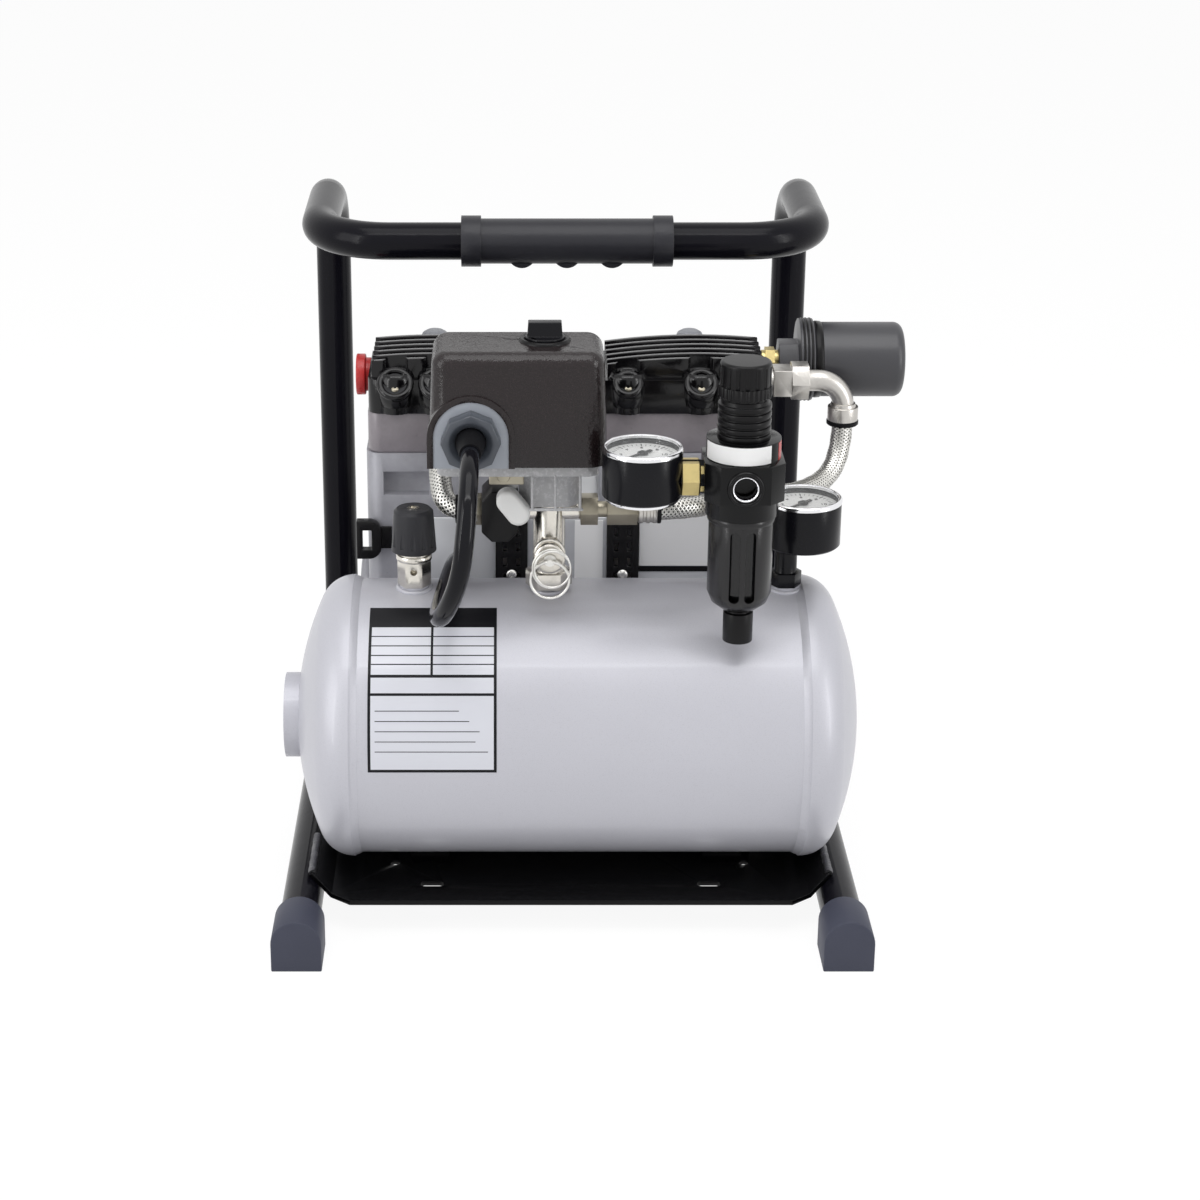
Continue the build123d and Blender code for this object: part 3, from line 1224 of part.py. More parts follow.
with BuildPart() as gauge_dials:
    for x, y, z in gauges:
        rod(Plane(origin=(x, y, z - DIAL_DROP - 1)), GAUGE_R - GAUGE_WALL - FIT, 0.6)
        rod(Plane(origin=(x, y, z - DIAL_DROP - 1)), 1.0, 1.6)
save(gauge_dials, "gauge_dials")

with BuildPart() as gauge_lenses:
    for x, y, z in gauges:
        rod(Plane(origin=(x, y, z - 1.4)), GAUGE_R - GAUGE_WALL - FIT, 1.2)
save(gauge_lenses, "gauge_lenses")


def build_needle(x, y, z):
    """A gauge pointer on its arbor, at rest on zero."""
    lift = z - DIAL_DROP + 0.1
    with BuildPart() as needle:
        pipe(Plane(origin=(x, y, lift)), 2.6, 1.0 + RUNNING, 0.6)
        with BuildSketch(Plane(origin=(x, y, lift))) as blade:
            with PolarLocations(NEEDLE_L / 2, 1, start_angle=NEEDLE_REST):
                Rectangle(NEEDLE_L - 4, 1.1)
        extrude(blade.sketch, amount=0.6)
        with BuildSketch(Plane(origin=(x, y, lift))) as tail:
            with PolarLocations(4, 1, start_angle=NEEDLE_REST + 180):
                Rectangle(4, 1.8)
        extrude(tail.sketch, amount=0.6)
    return needle


outlet_needle = build_needle(*gauges[0])
save(outlet_needle, "outlet_needle")
tank_needle = build_needle(*gauges[1])
save(tank_needle, "tank_needle")

# ---- Mains cord ----
relief_plane = axis_plane(GLAND_X, plate_face_y, GLAND_Z, (0, -1, 0), (1, 0, 0))
nut_depth = plate_face_y - GLAND_NUT_FRONT
relief_end_y = GLAND_NUT_FRONT - RELIEF_TIP
with BuildPart() as cord_relief:
    turn(
        [
            (0, 0),
            (GLAND_BORE - FIT, 0),
            (GLAND_BORE - FIT, nut_depth - 1),
            (CORD_R + 0.6, plate_face_y - relief_end_y),
            (0, plate_face_y - relief_end_y),
        ],
        relief_plane,
    )
save(cord_relief, "cord_relief")

turn_r = COIL_R + CORD_R  # centre line of the outer turns
entry_y = math.sqrt((COIL_R + COIL_W / 2) ** 2 - COIL_R**2) + 0.2
plate_lay = PLATE_TOP + CORD_R + 0.5
floor_lay = CORD_R + 0.5
crown_z = TANK_Z + SHELL_R + CORD_R + 3.5
back_gap_y = (TANK_Y + SHELL_R + front_y) / 2
cord_route = [
    (GLAND_X, relief_end_y, GLAND_Z),
    (GLAND_X, relief_end_y - 13.0, GLAND_Z),
    (GLAND_X - 0.5, relief_end_y - 28.9, GLAND_Z - 8.5),
    (GLAND_X - 1.5, relief_end_y - 39.0, GLAND_Z - 23.4),
    (GLAND_X - 4.0, relief_end_y - 41.3, GLAND_Z - 45.3),
    (GLAND_X - 10.0, relief_end_y - 33.8, GLAND_Z - 63.8),
    (GLAND_X - 15.0, relief_end_y - 20.0, crown_z + 5.6),
    (GLAND_X - 15.5, relief_end_y + 4.0, crown_z + 0.8),
    (GLAND_X - 13.0, TANK_Y - 22.0, crown_z),
    (GLAND_X - 9.5, TANK_Y + 14.0, crown_z),
    (GLAND_X - 8.0, TANK_Y + 50.0, crown_z - 12.0),
    (GLAND_X - 7.0, TANK_Y + 71.0, crown_z - 38.0),
    (GLAND_X - 5.0, back_gap_y, TANK_Z + 6.0),
    (GLAND_X - 2.5, back_gap_y + 1.0, TANK_Z - 22.0),
    (GLAND_X - 1.0, back_gap_y + 3.5, TANK_Z - 40.0),
    (GLAND_X - 1.0, back_gap_y + 12.5, TANK_Z - 55.5),
    (GLAND_X - 1.0, back_gap_y + 25.5, plate_lay + 3.2),
    (GLAND_X - 1.0, back_gap_y + 43.0, plate_lay),
    (GLAND_X - 1.5, back_gap_y + 78.0, plate_lay),
    (GLAND_X - 3.5, PLATE_REAR + 2.0, plate_lay + 0.8),
    (GLAND_X - 7.0, PLATE_REAR + 20.0, plate_lay - 3.5),
    (GLAND_X - 9.5, PLATE_REAR + 35.0, plate_lay - 12.5),
    (COIL_X - turn_r, PLATE_REAR + 49.0, floor_lay + 1.0),
    (COIL_X - turn_r, COIL_Y - entry_y, floor_lay),
]
with BuildPart() as mains_cord:
    cord_volume = cord_tube(cord_route, CORD_R, "mains cord")
print("cord volume share", round(mains_cord.part.volume / cord_volume, 4))
save(mains_cord, "mains_cord")

with BuildPart() as cord_coil:
    with BuildSketch(Plane(origin=(COIL_X, COIL_Y, 0), x_dir=(1, 0, 0), z_dir=(0, -1, 0))) as bundle:
        with Locations((COIL_R, COIL_W / 2)):
            RectangleRounded(COIL_W, COIL_W, 4)
    revolve(bundle.sketch, axis=Axis((COIL_X, COIL_Y, 0), (0, 0, 1)))
save(cord_coil, "cord_coil")

plug_tail_r = CORD_R + 1.0
ring_outer = COIL_R + COIL_W / 2
tail_gap = math.sqrt(ring_outer**2 - (turn_r - plug_tail_r) ** 2) + 0.7
with BuildPart() as mains_plug:
    plug_plane = axis_plane(
        COIL_X + turn_r, COIL_Y - tail_gap, PLUG_BODY_R, (0, -1, 0), (1, 0, 0)
    )
    turn(
        [
            (0, 0),
            (plug_tail_r, 0),
            (plug_tail_r + 1.5, 7),
            (PLUG_BODY_R, 12),
            (PLUG_BODY_R, PLUG_L),
            (0, PLUG_L),
        ],
        plug_plane,
    )
    with BuildSketch(plug_plane.offset(PLUG_L)) as plug_pins:
        with GridLocations(PLUG_PIN_PITCH, 0, 2, 1):
            Circle(PLUG_PIN_R)
    extrude(plug_pins.sketch, amount=PLUG_PIN_L)
save(mains_plug, "mains_plug")
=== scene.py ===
"""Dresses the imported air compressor: finishes, rounded bodies, fittings, hoses and mains lead."""
import json
import math

import bmesh
import bpy
from mathutils import Matrix, Vector


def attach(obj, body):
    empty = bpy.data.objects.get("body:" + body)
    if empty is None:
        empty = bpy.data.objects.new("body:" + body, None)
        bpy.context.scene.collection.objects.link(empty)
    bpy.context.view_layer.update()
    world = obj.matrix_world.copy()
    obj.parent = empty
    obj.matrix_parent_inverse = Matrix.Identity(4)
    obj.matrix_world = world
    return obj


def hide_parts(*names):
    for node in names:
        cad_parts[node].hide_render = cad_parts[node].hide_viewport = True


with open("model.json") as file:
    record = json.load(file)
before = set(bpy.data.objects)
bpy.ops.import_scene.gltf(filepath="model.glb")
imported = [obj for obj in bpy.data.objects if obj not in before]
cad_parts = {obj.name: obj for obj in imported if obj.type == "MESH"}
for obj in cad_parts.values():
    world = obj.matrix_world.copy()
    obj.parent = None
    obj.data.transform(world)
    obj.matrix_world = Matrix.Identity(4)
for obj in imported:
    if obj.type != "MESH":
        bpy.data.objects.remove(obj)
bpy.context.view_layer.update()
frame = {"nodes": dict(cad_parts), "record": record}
nodes = frame["nodes"]
record = frame["record"]
MAIN = "compressor"

# ---- Places, in mm off the frame's centre plane, the front of the feet and the floor ----
FRAME_X = -17.0  # centre plane of the tube frame in the CAD
FRONT_Y = -194.5  # front of the feet in the CAD
SIDES = (-1, 1)
UP, FORWARD, BACKWARD, LEFT, RIGHT = (0, 0, 1), (0, -1, 0), (0, 1, 0), (-1, 0, 0), (1, 0, 0)
TANK = (3.5, 100.0, 92.0)  # middle of the tank
SHELL_R = 69.5
BOSS_TOP = 163.5  # top of the bosses on the tank
DRAIN_X, MANIFOLD_X, GAUGE_PORT_X = -78.1, -11.0, 107.0
UNION_Z = 203.0  # axis of the manifold's two arms
REGULATOR = (79.3, 50.0)  # axis of the filter-regulator
REGULATOR_FRONT, OUTLET_Z = 31.2, 237.0  # its outlet port
SHAFT_Y, SHAFT_Z = 220.0, 100.0  # axis of the motor
COVER_X = 110.0  # outer face of each crankcase cover
BLOCK_FRONT, BLOCK_BACK = 184.0, 256.0
SHROUD_FRONT, SHROUD_BACK = 182.0, 259.5
VENT_X, VENT_FRONT = 29.5, 179.0  # slotted strips on the shroud


def at(x, y, z):
    """A point in metres, from millimetres off the centre plane, the front and the floor."""
    return Vector(((FRAME_X + x) / 1000, (FRONT_Y + y) / 1000, z / 1000))


def put(name, data):
    """Adds an object to the scene."""
    obj = bpy.data.objects.new(name, data)
    bpy.context.scene.collection.objects.link(obj)
    return obj


def worked_out(obj):
    """A plain mesh of the object, with its modifiers or curve settings applied."""
    graph = bpy.context.evaluated_depsgraph_get()
    return bpy.data.meshes.new_from_object(obj.evaluated_get(graph))


# ---- Node writing ----
class Value:
    """An output socket that takes arithmetic: each operator adds a Math node."""

    def __init__(self, writer, socket):
        self.writer, self.socket = writer, socket

    def math(self, operation, *others):
        return self.writer.add("ShaderNodeMath", self, *others, operation=operation)

    def __add__(self, other):
        return self.math("ADD", other)

    def __sub__(self, other):
        return self.math("SUBTRACT", other)

    def __mul__(self, other):
        return self.math("MULTIPLY", other)

    def __truediv__(self, other):
        return self.math("DIVIDE", other)

    def above(self, low, high):
        """0 below low, 1 above high, smooth between."""
        return self.writer.add(
            "ShaderNodeMapRange", self, low, high, 0.0, 1.0, interpolation_type="SMOOTHSTEP"
        )

    def between(self, low, high):
        """Rescales 0..1 to low..high, and stays within them."""
        return self.writer.add("ShaderNodeMapRange", self, 0.0, 1.0, low, high)

    def beside(self, name):
        """Another output of the same node."""
        return Value(self.writer, self.socket.node.outputs[name])


class Writer:
    """Adds nodes to a node tree."""

    def __init__(self, tree):
        self.tree = tree

    def feed(self, socket, value):
        if isinstance(value, Value):
            self.tree.links.new(value.socket, socket)
        else:
            socket.default_value = value

    def add(self, kind, *values, out=None, **named):
        """Adds a node; values feed its inputs in order, Capital names feed an input by name,
        and small names are settings."""
        node = self.tree.nodes.new(kind)
        for key, value in named.items():
            if key[0].islower():
                setattr(node, key, value)
        inputs = [s for s in node.inputs if s.enabled]
        for socket, value in zip(inputs, values):
            self.feed(socket, value)
        for key, value in named.items():
            if key[0].isupper():
                label = key.replace("_", " ")
                self.feed(next(s for s in inputs if s.name == label), value)
        return Value(self, next(s for s in node.outputs if s.enabled and out in (None, s.name)))

    def seen_rays(self):
        """1 on rays from the camera, and on those in a mirror or through glass."""
        camera = self.add("ShaderNodeLightPath", out="Is Camera Ray")
        return camera + camera.beside("Is Glossy Ray") + camera.beside("Is Transmission Ray")


class Finish(Writer):
    """One material and the nodes that make it."""

    def __init__(self, name, color, roughness, metallic=0.0, spec=0.5, coat=0.0, coat_rough=0.03):
        self.material = bpy.data.materials.new(name)
        self.material.use_nodes = True
        self.material.diffuse_color = (*color, 1)
        super().__init__(self.material.node_tree)
        self.shader = self.tree.nodes["Principled BSDF"]
        self.set("Base Color", (*color, 1))
        self.set("Roughness", roughness)
        self.set("Metallic", metallic)
        self.set("Specular IOR Level", spec)
        self.set("Coat Weight", coat)
        self.set("Coat Roughness", coat_rough)
        self.place = self.add("ShaderNodeTexCoord", out="Object")

    def set(self, name, value):
        self.feed(self.shader.inputs[name], value)

    def noise(self, scale, detail, rough, stretch=None):
        """Noise of about 1/scale metres, 0..1; stretch squeezes it along an axis."""
        place = self.place
        if stretch:
            place = self.add("ShaderNodeMapping", Vector=place, Scale=stretch)
        return self.add(
            "ShaderNodeTexNoise", Vector=place, Scale=scale, Detail=detail, Roughness=rough
        )

    def blend(self, mask, first, second):
        """The first colour where the mask is 0, the second where it is 1."""
        mix = self.tree.nodes.new("ShaderNodeMix")
        mix.data_type = "RGBA"
        for index, value in ((0, mask), (6, first), (7, second)):
            if isinstance(value, tuple):
                value = (*value, 1)
            self.feed(mix.inputs[index], value)
        return Value(self, mix.outputs[2])

    def bump(self, height, distance):
        normal = self.add("ShaderNodeBump", Strength=1.0, Distance=distance, Height=height)
        self.set("Normal", normal)
        return self


# ---- Finishes: each has a colour, a roughness and what makes its surface uneven ----
def enamel(
    name, color, roughness, peel=0.00004, dust=0.05, coat=0.0, metallic=0.0, flake=0.0, spec=0.5
):
    """Sprayed paint: orange peel, a breath of dust and uneven gloss."""
    paint = Finish(name, color, roughness, metallic, spec, coat, 0.08)
    soft = paint.noise(9, 4, 0.6)
    fine = paint.noise(420, 2, 0.5)
    paler = tuple(min(1, c + dust * 0.03 + c * dust * 0.15) for c in color)
    tint = paint.blend(soft.above(0.42, 0.75), color, paler)
    if flake:
        sparkle = paint.noise(2600, 1, 0.5)
        darker = tuple(c * 0.72 for c in color)
        tint = paint.blend(sparkle.above(0.5, 0.8) * flake, tint, darker)
    paint.set("Base Color", tint)
    paint.set("Roughness", soft.between(roughness * 0.8, roughness * 1.25))
    return paint.bump(fine + paint.noise(90, 2, 0.5) * 1.5, peel)


def moulded(name, color, roughness, grain=700, depth=0.00005, wear=0.5, spec=0.5, glint_paint=0.0):
    """Moulded plastic or rubber with a spark-eroded grain, and light specks in its colour as
    painted glints of that grain.
    """
    plastic = Finish(name, color, roughness, 0.0, spec)
    soft = plastic.noise(14, 4, 0.6)
    paler = tuple(min(1, c * (1 + 0.35 * wear) + 0.012 * wear) for c in color)
    tint = plastic.blend(soft.above(0.4, 0.75), color, paler)
    # Painted glints: light specks in the base colour stand in for the grain catching the light.
    if glint_paint:
        glint_noise = plastic.noise(grain * 3, 3, 0.7)
        light = tuple(c * 3 + 0.012 for c in color)
        tint = plastic.blend(glint_noise.above(0.5, 0.62) * glint_paint, tint, light)
    plastic.set("Base Color", tint)
    plastic.set("Roughness", soft.between(roughness * 0.85, min(1, roughness * 1.2)))
    return plastic.bump(plastic.noise(grain, 3, 0.6), depth)


def metal(name, color, roughness, stain=0.3, scratch=0.00002):
    """Plated or machined metal with faint stains and fine tool marks."""
    plate = Finish(name, color, roughness, 1.0)
    soft = plate.noise(35, 5, 0.65)
    dull = tuple(c * (1 - 0.45 * stain) for c in color)
    plate.set("Base Color", plate.blend(soft.above(0.45, 0.75), color, dull))
    plate.set("Roughness", soft.between(roughness * 0.7, min(1, roughness * 1.6)))
    return plate.bump(plate.noise(900, 2, 0.5, (1, 1, 6)), scratch)


def casting(name, color, roughness, depth=0.00012, metallic=0.0, coat=0.2, spec=0.5):
    """Painted sand or die casting: shallow pits under the paint."""
    cast = Finish(name, color, roughness, metallic, spec, coat, 0.15)
    soft = cast.noise(22, 5, 0.65)
    pits = cast.noise(330, 4, 0.6)
    tint = cast.blend(soft.above(0.35, 0.7), color, tuple(c * 0.72 for c in color))
    tint = cast.blend(pits.above(0.62, 0.8) * 0.4, tint, tuple(c * 0.5 for c in color))
    cast.set("Base Color", tint)
    cast.set("Roughness", pits.between(roughness * 0.75, min(1, roughness * 1.3)))
    return cast.bump(pits, depth)


def clear(name, color, alpha):
    """Thin clear plastic with a glossy face."""
    lens = Finish(name, color, 0.05)
    haze = lens.noise(60, 3, 0.6)
    lens.set("Alpha", haze.between(alpha * 0.8, alpha * 1.2))
    lens.set("Roughness", haze.between(0.03, 0.09))
    return lens


FINISHES = {
    "frame_black": enamel("frame_enamel", (0.0042, 0.0039, 0.0068), 0.2, dust=0.08, spec=0.13),
    "plate_black": enamel("plate_enamel", (0.0025, 0.0025, 0.003), 0.22, spec=0.15),
    "tank_silver": enamel(
        "tank_enamel", (0.555, 0.555, 0.605), 0.44, 0.00003, 0.15, 0.22, 0.2, 0.4, 0.4
    ),
    "shroud_silver": enamel("shroud_zinc", (0.6, 0.61, 0.63), 0.35, 0.00002, 0.3, 0.1, 0.4),
    "foot_rubber": moulded("foot_rubber", (0.052, 0.056, 0.082), 0.55, 500, 0.00006, 0.3, 0.3),
    "grip_rubber": moulded("grip_rubber", (0.016, 0.016, 0.021), 0.38, 350, 0.0001, 0.3, 0.35),
    "seal_rubber": moulded("seal_rubber", (0.005, 0.005, 0.006), 0.45, wear=0.1, spec=0.12),
    "bright_steel": metal("zinc_plate", (0.78, 0.77, 0.74), 0.25),
    "black_steel": metal("oxide_steel", (0.03, 0.03, 0.032), 0.35),
    "core_steel": metal("lamination_steel", (0.4, 0.38, 0.37), 0.45),
    "nickel": metal("nickel_plate", (0.74, 0.71, 0.65), 0.2, 0.5),
    "satin_nickel": metal("satin_nickel", (0.56, 0.54, 0.51), 0.3, 0.5),
    "dull_nickel": metal("dull_nickel", (0.36, 0.33, 0.26), 0.3, 0.5),
    "chrome": metal("chrome_plate", (0.85, 0.85, 0.87), 0.1, 0.1),
    "case_cast": casting("case_casting", (0.37, 0.37, 0.405), 0.42, metallic=0.2),
    "cylinder_cast": casting("cylinder_casting", (0.27, 0.245, 0.265), 0.36, metallic=0.2),
    "head_cast": casting(
        "head_casting", (0.003, 0.0026, 0.0034), 0.16, 0.00008, coat=0.12, spec=0.3
    ),
    "piston_alloy": metal("piston_alloy", (0.68, 0.68, 0.68), 0.4),
    "weld_bead": metal("weld_bead", (0.16, 0.16, 0.17), 0.36, 0.6, 0.00015),
    "brass": metal("brass", (0.6, 0.49, 0.22), 0.28, 0.6),
    "black_plastic": moulded("black_plastic", (0.0045, 0.0042, 0.0048), 0.3, wear=0.12, spec=0.2),
    "satin_plastic": moulded("satin_plastic", (0.04, 0.04, 0.046), 0.38, 420, 0.00005, 0.3, 0.6),
    # The last number sets the painted glints: light specks in the colour.
    "cover_plastic": moulded(
        "grained_plastic", (0.0125, 0.008, 0.0085), 0.22, 420, 0.00035, 0.1, 0.38, 0.22
    ),
    "knob_plastic": moulded(
        "knob_plastic", (0.0045, 0.0045, 0.0065), 0.22, 500, 0.00003, 0.12, 0.2
    ),
    "slate_plastic": moulded("slate_plastic", (0.024, 0.024, 0.028), 0.45, 420, 0.00006, 0.3, 0.25),
    "grey_plastic": moulded("grey_plastic", (0.36, 0.385, 0.43), 0.3, 600, 0.00006),
    "nut_plastic": moulded("nut_plastic", (0.062, 0.07, 0.085), 0.28, 600, 0.00004),
    # The last number sets the painted glints: light specks in the colour.
    "pale_plastic": moulded("pale_plastic", (0.4, 0.4, 0.41), 0.14, 160, 0.0005, 0.3, 0.7, 0.12),
    "white_plastic": moulded("white_plastic", (0.8, 0.8, 0.79), 0.35, 600, 0.00003, 0.1),
    "plug_plastic": moulded("plug_plastic", (0.3, 0.31, 0.34), 0.4, 500, 0.00005),
    "red_plastic": moulded("red_plastic", (0.5, 0.025, 0.025), 0.32, 600, 0.00003, 0.2),
    "gun_metal": enamel("gun_metal", (0.01, 0.0095, 0.0105), 0.22, metallic=0.2),
    "regulator_cast": enamel("regulator_enamel", (0.0025, 0.0025, 0.003), 0.18, spec=0.22),
    "bowl_clear": clear("bowl_clear", (0.006, 0.006, 0.007), 0.83),
    "lens_clear": clear("lens_clear", (0.9, 0.92, 0.92), 0.08),
    "cord_jacket": moulded("cord_jacket", (0.003, 0.003, 0.0055), 0.13, 250, 0.00002, 0.1, 0.2),
    "plate_white": enamel("plate_white", (0.69, 0.7, 0.76), 0.3, 0.00001, 0.1, 0.2),
    "plate_bright": enamel("plate_bright", (0.93, 0.93, 0.93), 0.4, 0.00001, 0.0, 0.2),
    "plate_ink": enamel("plate_ink", (0.004, 0.004, 0.006), 0.35, 0.00001, spec=0.2),
    "plate_silver": enamel("plate_silver", (0.8, 0.8, 0.8), 0.34, 0.00001, 0.1, 0.2, 0.15),
    "braid_steel": metal("braid_wire", (0.66, 0.65, 0.62), 0.3, 0.25, 0.00001),
}
NODE_FINISH = {row["node"]: row["material_slot"] for row in record["subparts"]}
NODE_FINISH.update(
    base_plate="plate_black",
    switch_cover="cover_plastic",
    motor_shroud="shroud_silver",
    drain_valve_knob="slate_plastic",
    drain_valve_body="nickel",
    safety_valve_body="nickel",
    switch_base="pale_plastic",
    gland_nut="nut_plastic",
    head_plugs="plug_plastic",
    outlet_needle="knob_plastic",
    tank_needle="knob_plastic",
    intake_filter_base="satin_plastic",
    intake_filter_cover="satin_plastic",
    pipe_fittings="dull_nickel",
    outlet_fittings="satin_nickel",
)
for name, node in nodes.items():
    node.data.materials.clear()
    node.data.materials.append(FINISHES[NODE_FINISH[name]].material)


# ---- Mesh writing ----
def piece(name, mesh, finish, body=MAIN, replaced=(), smooth=40):
    """Registers a finished mesh as a piece of one body."""
    obj = put(name, mesh)
    mesh.materials.clear()
    mesh.materials.append(FINISHES[finish].material)
    if smooth:
        mesh.shade_smooth()
        mesh.set_sharp_from_angle(angle=math.radians(smooth))
    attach(obj, body)
    if replaced:
        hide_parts(*replaced)
    return obj


def body_of_node(name):
    for body, members in record["behaviour"]["bodies"].items():
        if name in members:
            return body
    return MAIN


def soften(name, width):
    """Replaces a CAD node with a copy whose edges are rounded over, width in mm."""
    mesh = nodes[name].data.copy()
    bm = bmesh.new()
    bm.from_mesh(mesh)
    bmesh.ops.remove_doubles(bm, verts=bm.verts, dist=0.000005)
    bmesh.ops.dissolve_limit(
        bm, angle_limit=math.radians(0.5), verts=bm.verts, edges=bm.edges, delimit={"NORMAL"}
    )
    bm.to_mesh(mesh)
    bm.free()
    obj = piece(name + "_body", mesh, NODE_FINISH[name], body_of_node(name), smooth=0)
    bevel = obj.modifiers.new("edge", "BEVEL")
    bevel.width = width / 1000
    bevel.segments = 2
    bevel.limit_method = "ANGLE"
    bevel.angle_limit = math.radians(30)
    bevel.harden_normals = False
    bevel.use_clamp_overlap = True
    rounded = worked_out(obj)
    obj.modifiers.clear()
    obj.data = rounded
    rounded.shade_smooth()
    rounded.set_sharp_from_angle(angle=math.radians(35))
    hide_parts(name)


EDGES = {  # rounding in mm, and the nodes that have it
    0.2: "vent_strips",
    0.3: "regulator_bonnet bowl_guard head_screws motor_shroud",
    0.4: (
        "base_plate outlet_fittings pipe_fittings manifold outlet_riser drain_valve_body "
        "regulator_knob bowl_drain safety_valve_body cable_clip tank_plug"
    ),
    0.5: "gland_nut gauge_cases switch_knob intake_filter_base drain_valve_knob head_plugs",
    0.6: "regulator_body check_valve intake_filter_cover switch_base port_cap crankcase_covers",
    0.8: "switch_cover handle_grip mains_plug",
    0.9: "cylinder_heads",
    1.0: "cylinder_blocks",
    1.2: "crankcases",
    1.5: "rubber_feet",
}
for width, names in EDGES.items():
    for name in names.split():
        soften(name, width)


def polar(radius, angle):
    """The two offsets of a point on a circle."""
    return radius * math.cos(angle), radius * math.sin(angle)


def upright(direction):
    """Two axes across a direction, and the direction."""
    axis = Vector(direction).normalized()
    across = Vector(UP).cross(axis) if abs(axis.z) < 0.9 else Vector(RIGHT)
    across.normalize()
    return across, axis.cross(across), axis


class Shape:
    """Gathers closed forms in one mesh; sizes are in millimetres."""

    def __init__(self):
        self.bm = bmesh.new()

    def skin(self, rings, closed_across=True, closed_along=False):
        """Faces between rings of vertices, one ring after another."""
        pairs = list(zip(rings, rings[1:]))
        if closed_along:
            pairs.append((rings[-1], rings[0]))
        for first, second in pairs:
            count = max(len(first), len(second))
            for k in range(count if closed_across else count - 1):
                quad = [
                    first[k % len(first)],
                    first[(k + 1) % len(first)],
                    second[(k + 1) % len(second)],
                    second[k % len(second)],
                ]
                corners = list(dict.fromkeys(quad))
                if len(corners) > 2 and not self.bm.faces.get(corners):
                    self.bm.faces.new(corners)

    def circle(self, middle, u, v, radius, steps, wave=None):
        """A ring of vertices round a point in metres; wave maps an angle to a factor."""
        ring = []
        for k in range(steps):
            angle = math.tau * k / steps
            reach = radius * (wave(angle) if wave else 1) / 1000
            ring.append(
                self.bm.verts.new(middle + (u * math.cos(angle) + v * math.sin(angle)) * reach)
            )
        return ring

    def lathe(self, foot, direction, outline, steps=48, wave=None, loop=True):
        """Turns (radius, height) pairs about an axis through foot; loop joins last to first."""
        u, v, w = upright(direction)
        rings = []
        for radius, height in outline:
            middle = at(*foot) + w * height / 1000
            if radius < 1e-6:
                rings.append([self.bm.verts.new(middle)])
            else:
                rings.append(self.circle(middle, u, v, radius, steps, wave))
        self.skin(rings, closed_along=loop)
        return self

    def ring(self, foot, direction, radius, wire, steps, sides):
        """A torus."""
        outline = []
        for k in range(sides):
            across, along = polar(wire, math.tau * k / sides)
            outline.append((radius + across, along))
        return self.lathe(foot, direction, outline, steps)

    def bend(self, points, radius, sides=10, closed=False):
        """A round bar through points in metres; its ends come to a point."""
        count = len(points)
        rings = []
        across = None
        for k, point in enumerate(points):
            before = points[(k - 1) % count] if closed or k else point
            after = points[(k + 1) % count] if closed or k < count - 1 else point
            along = (after - before).normalized()
            if across is None:
                across = upright(along)[0]
            across = (across - along * across.dot(along)).normalized()
            rings.append(self.circle(point, across, along.cross(across), radius, sides))
        if not closed:
            rings = [[self.bm.verts.new(points[0])]] + rings + [[self.bm.verts.new(points[-1])]]
        self.skin(rings, closed_along=closed)
        return self

    def box(self, low, high, edge, segments=1):
        """A box between two corners with rounded edges."""
        a, b = at(*low), at(*high)
        made = bmesh.ops.create_cube(self.bm, size=1.0)["verts"]
        for vert in made:
            vert.co = Vector([(a[i] + b[i]) / 2 + vert.co[i] * (b[i] - a[i]) for i in range(3)])
        edges = list(dict.fromkeys(e for v in made for e in v.link_edges))
        bmesh.ops.bevel(
            self.bm, geom=edges, offset=edge / 1000, segments=segments, profile=0.5, affect="EDGES"
        )
        return self

    def sheet(self, surface, u_steps, v_steps, thickness):
        """A thin closed plate over surface(u, v), which returns a point and its normal."""
        layers = []
        for lift in (0, thickness):
            layer = []
            for i in range(u_steps + 1):
                row = []
                for j in range(v_steps + 1):
                    point, normal = surface(i / u_steps, j / v_steps)
                    row.append(self.bm.verts.new(point + normal * lift / 1000))
                layer.append(row)
            layers.append(layer)
        rims = []
        for layer in layers:
            self.skin(layer, closed_across=False)
            far_side = [row[-1] for row in reversed(layer[:-1])]
            rims.append([row[0] for row in layer] + layer[-1][1:] + far_side + layer[0][-2:0:-1])
        self.skin(rims)
        return self

    def done(self, name, finish, body=MAIN, smooth=40):
        bmesh.ops.recalc_face_normals(self.bm, faces=self.bm.faces)
        mesh = bpy.data.meshes.new(name)
        self.bm.to_mesh(mesh)
        self.bm.free()
        return piece(name, mesh, finish, body, smooth=smooth)


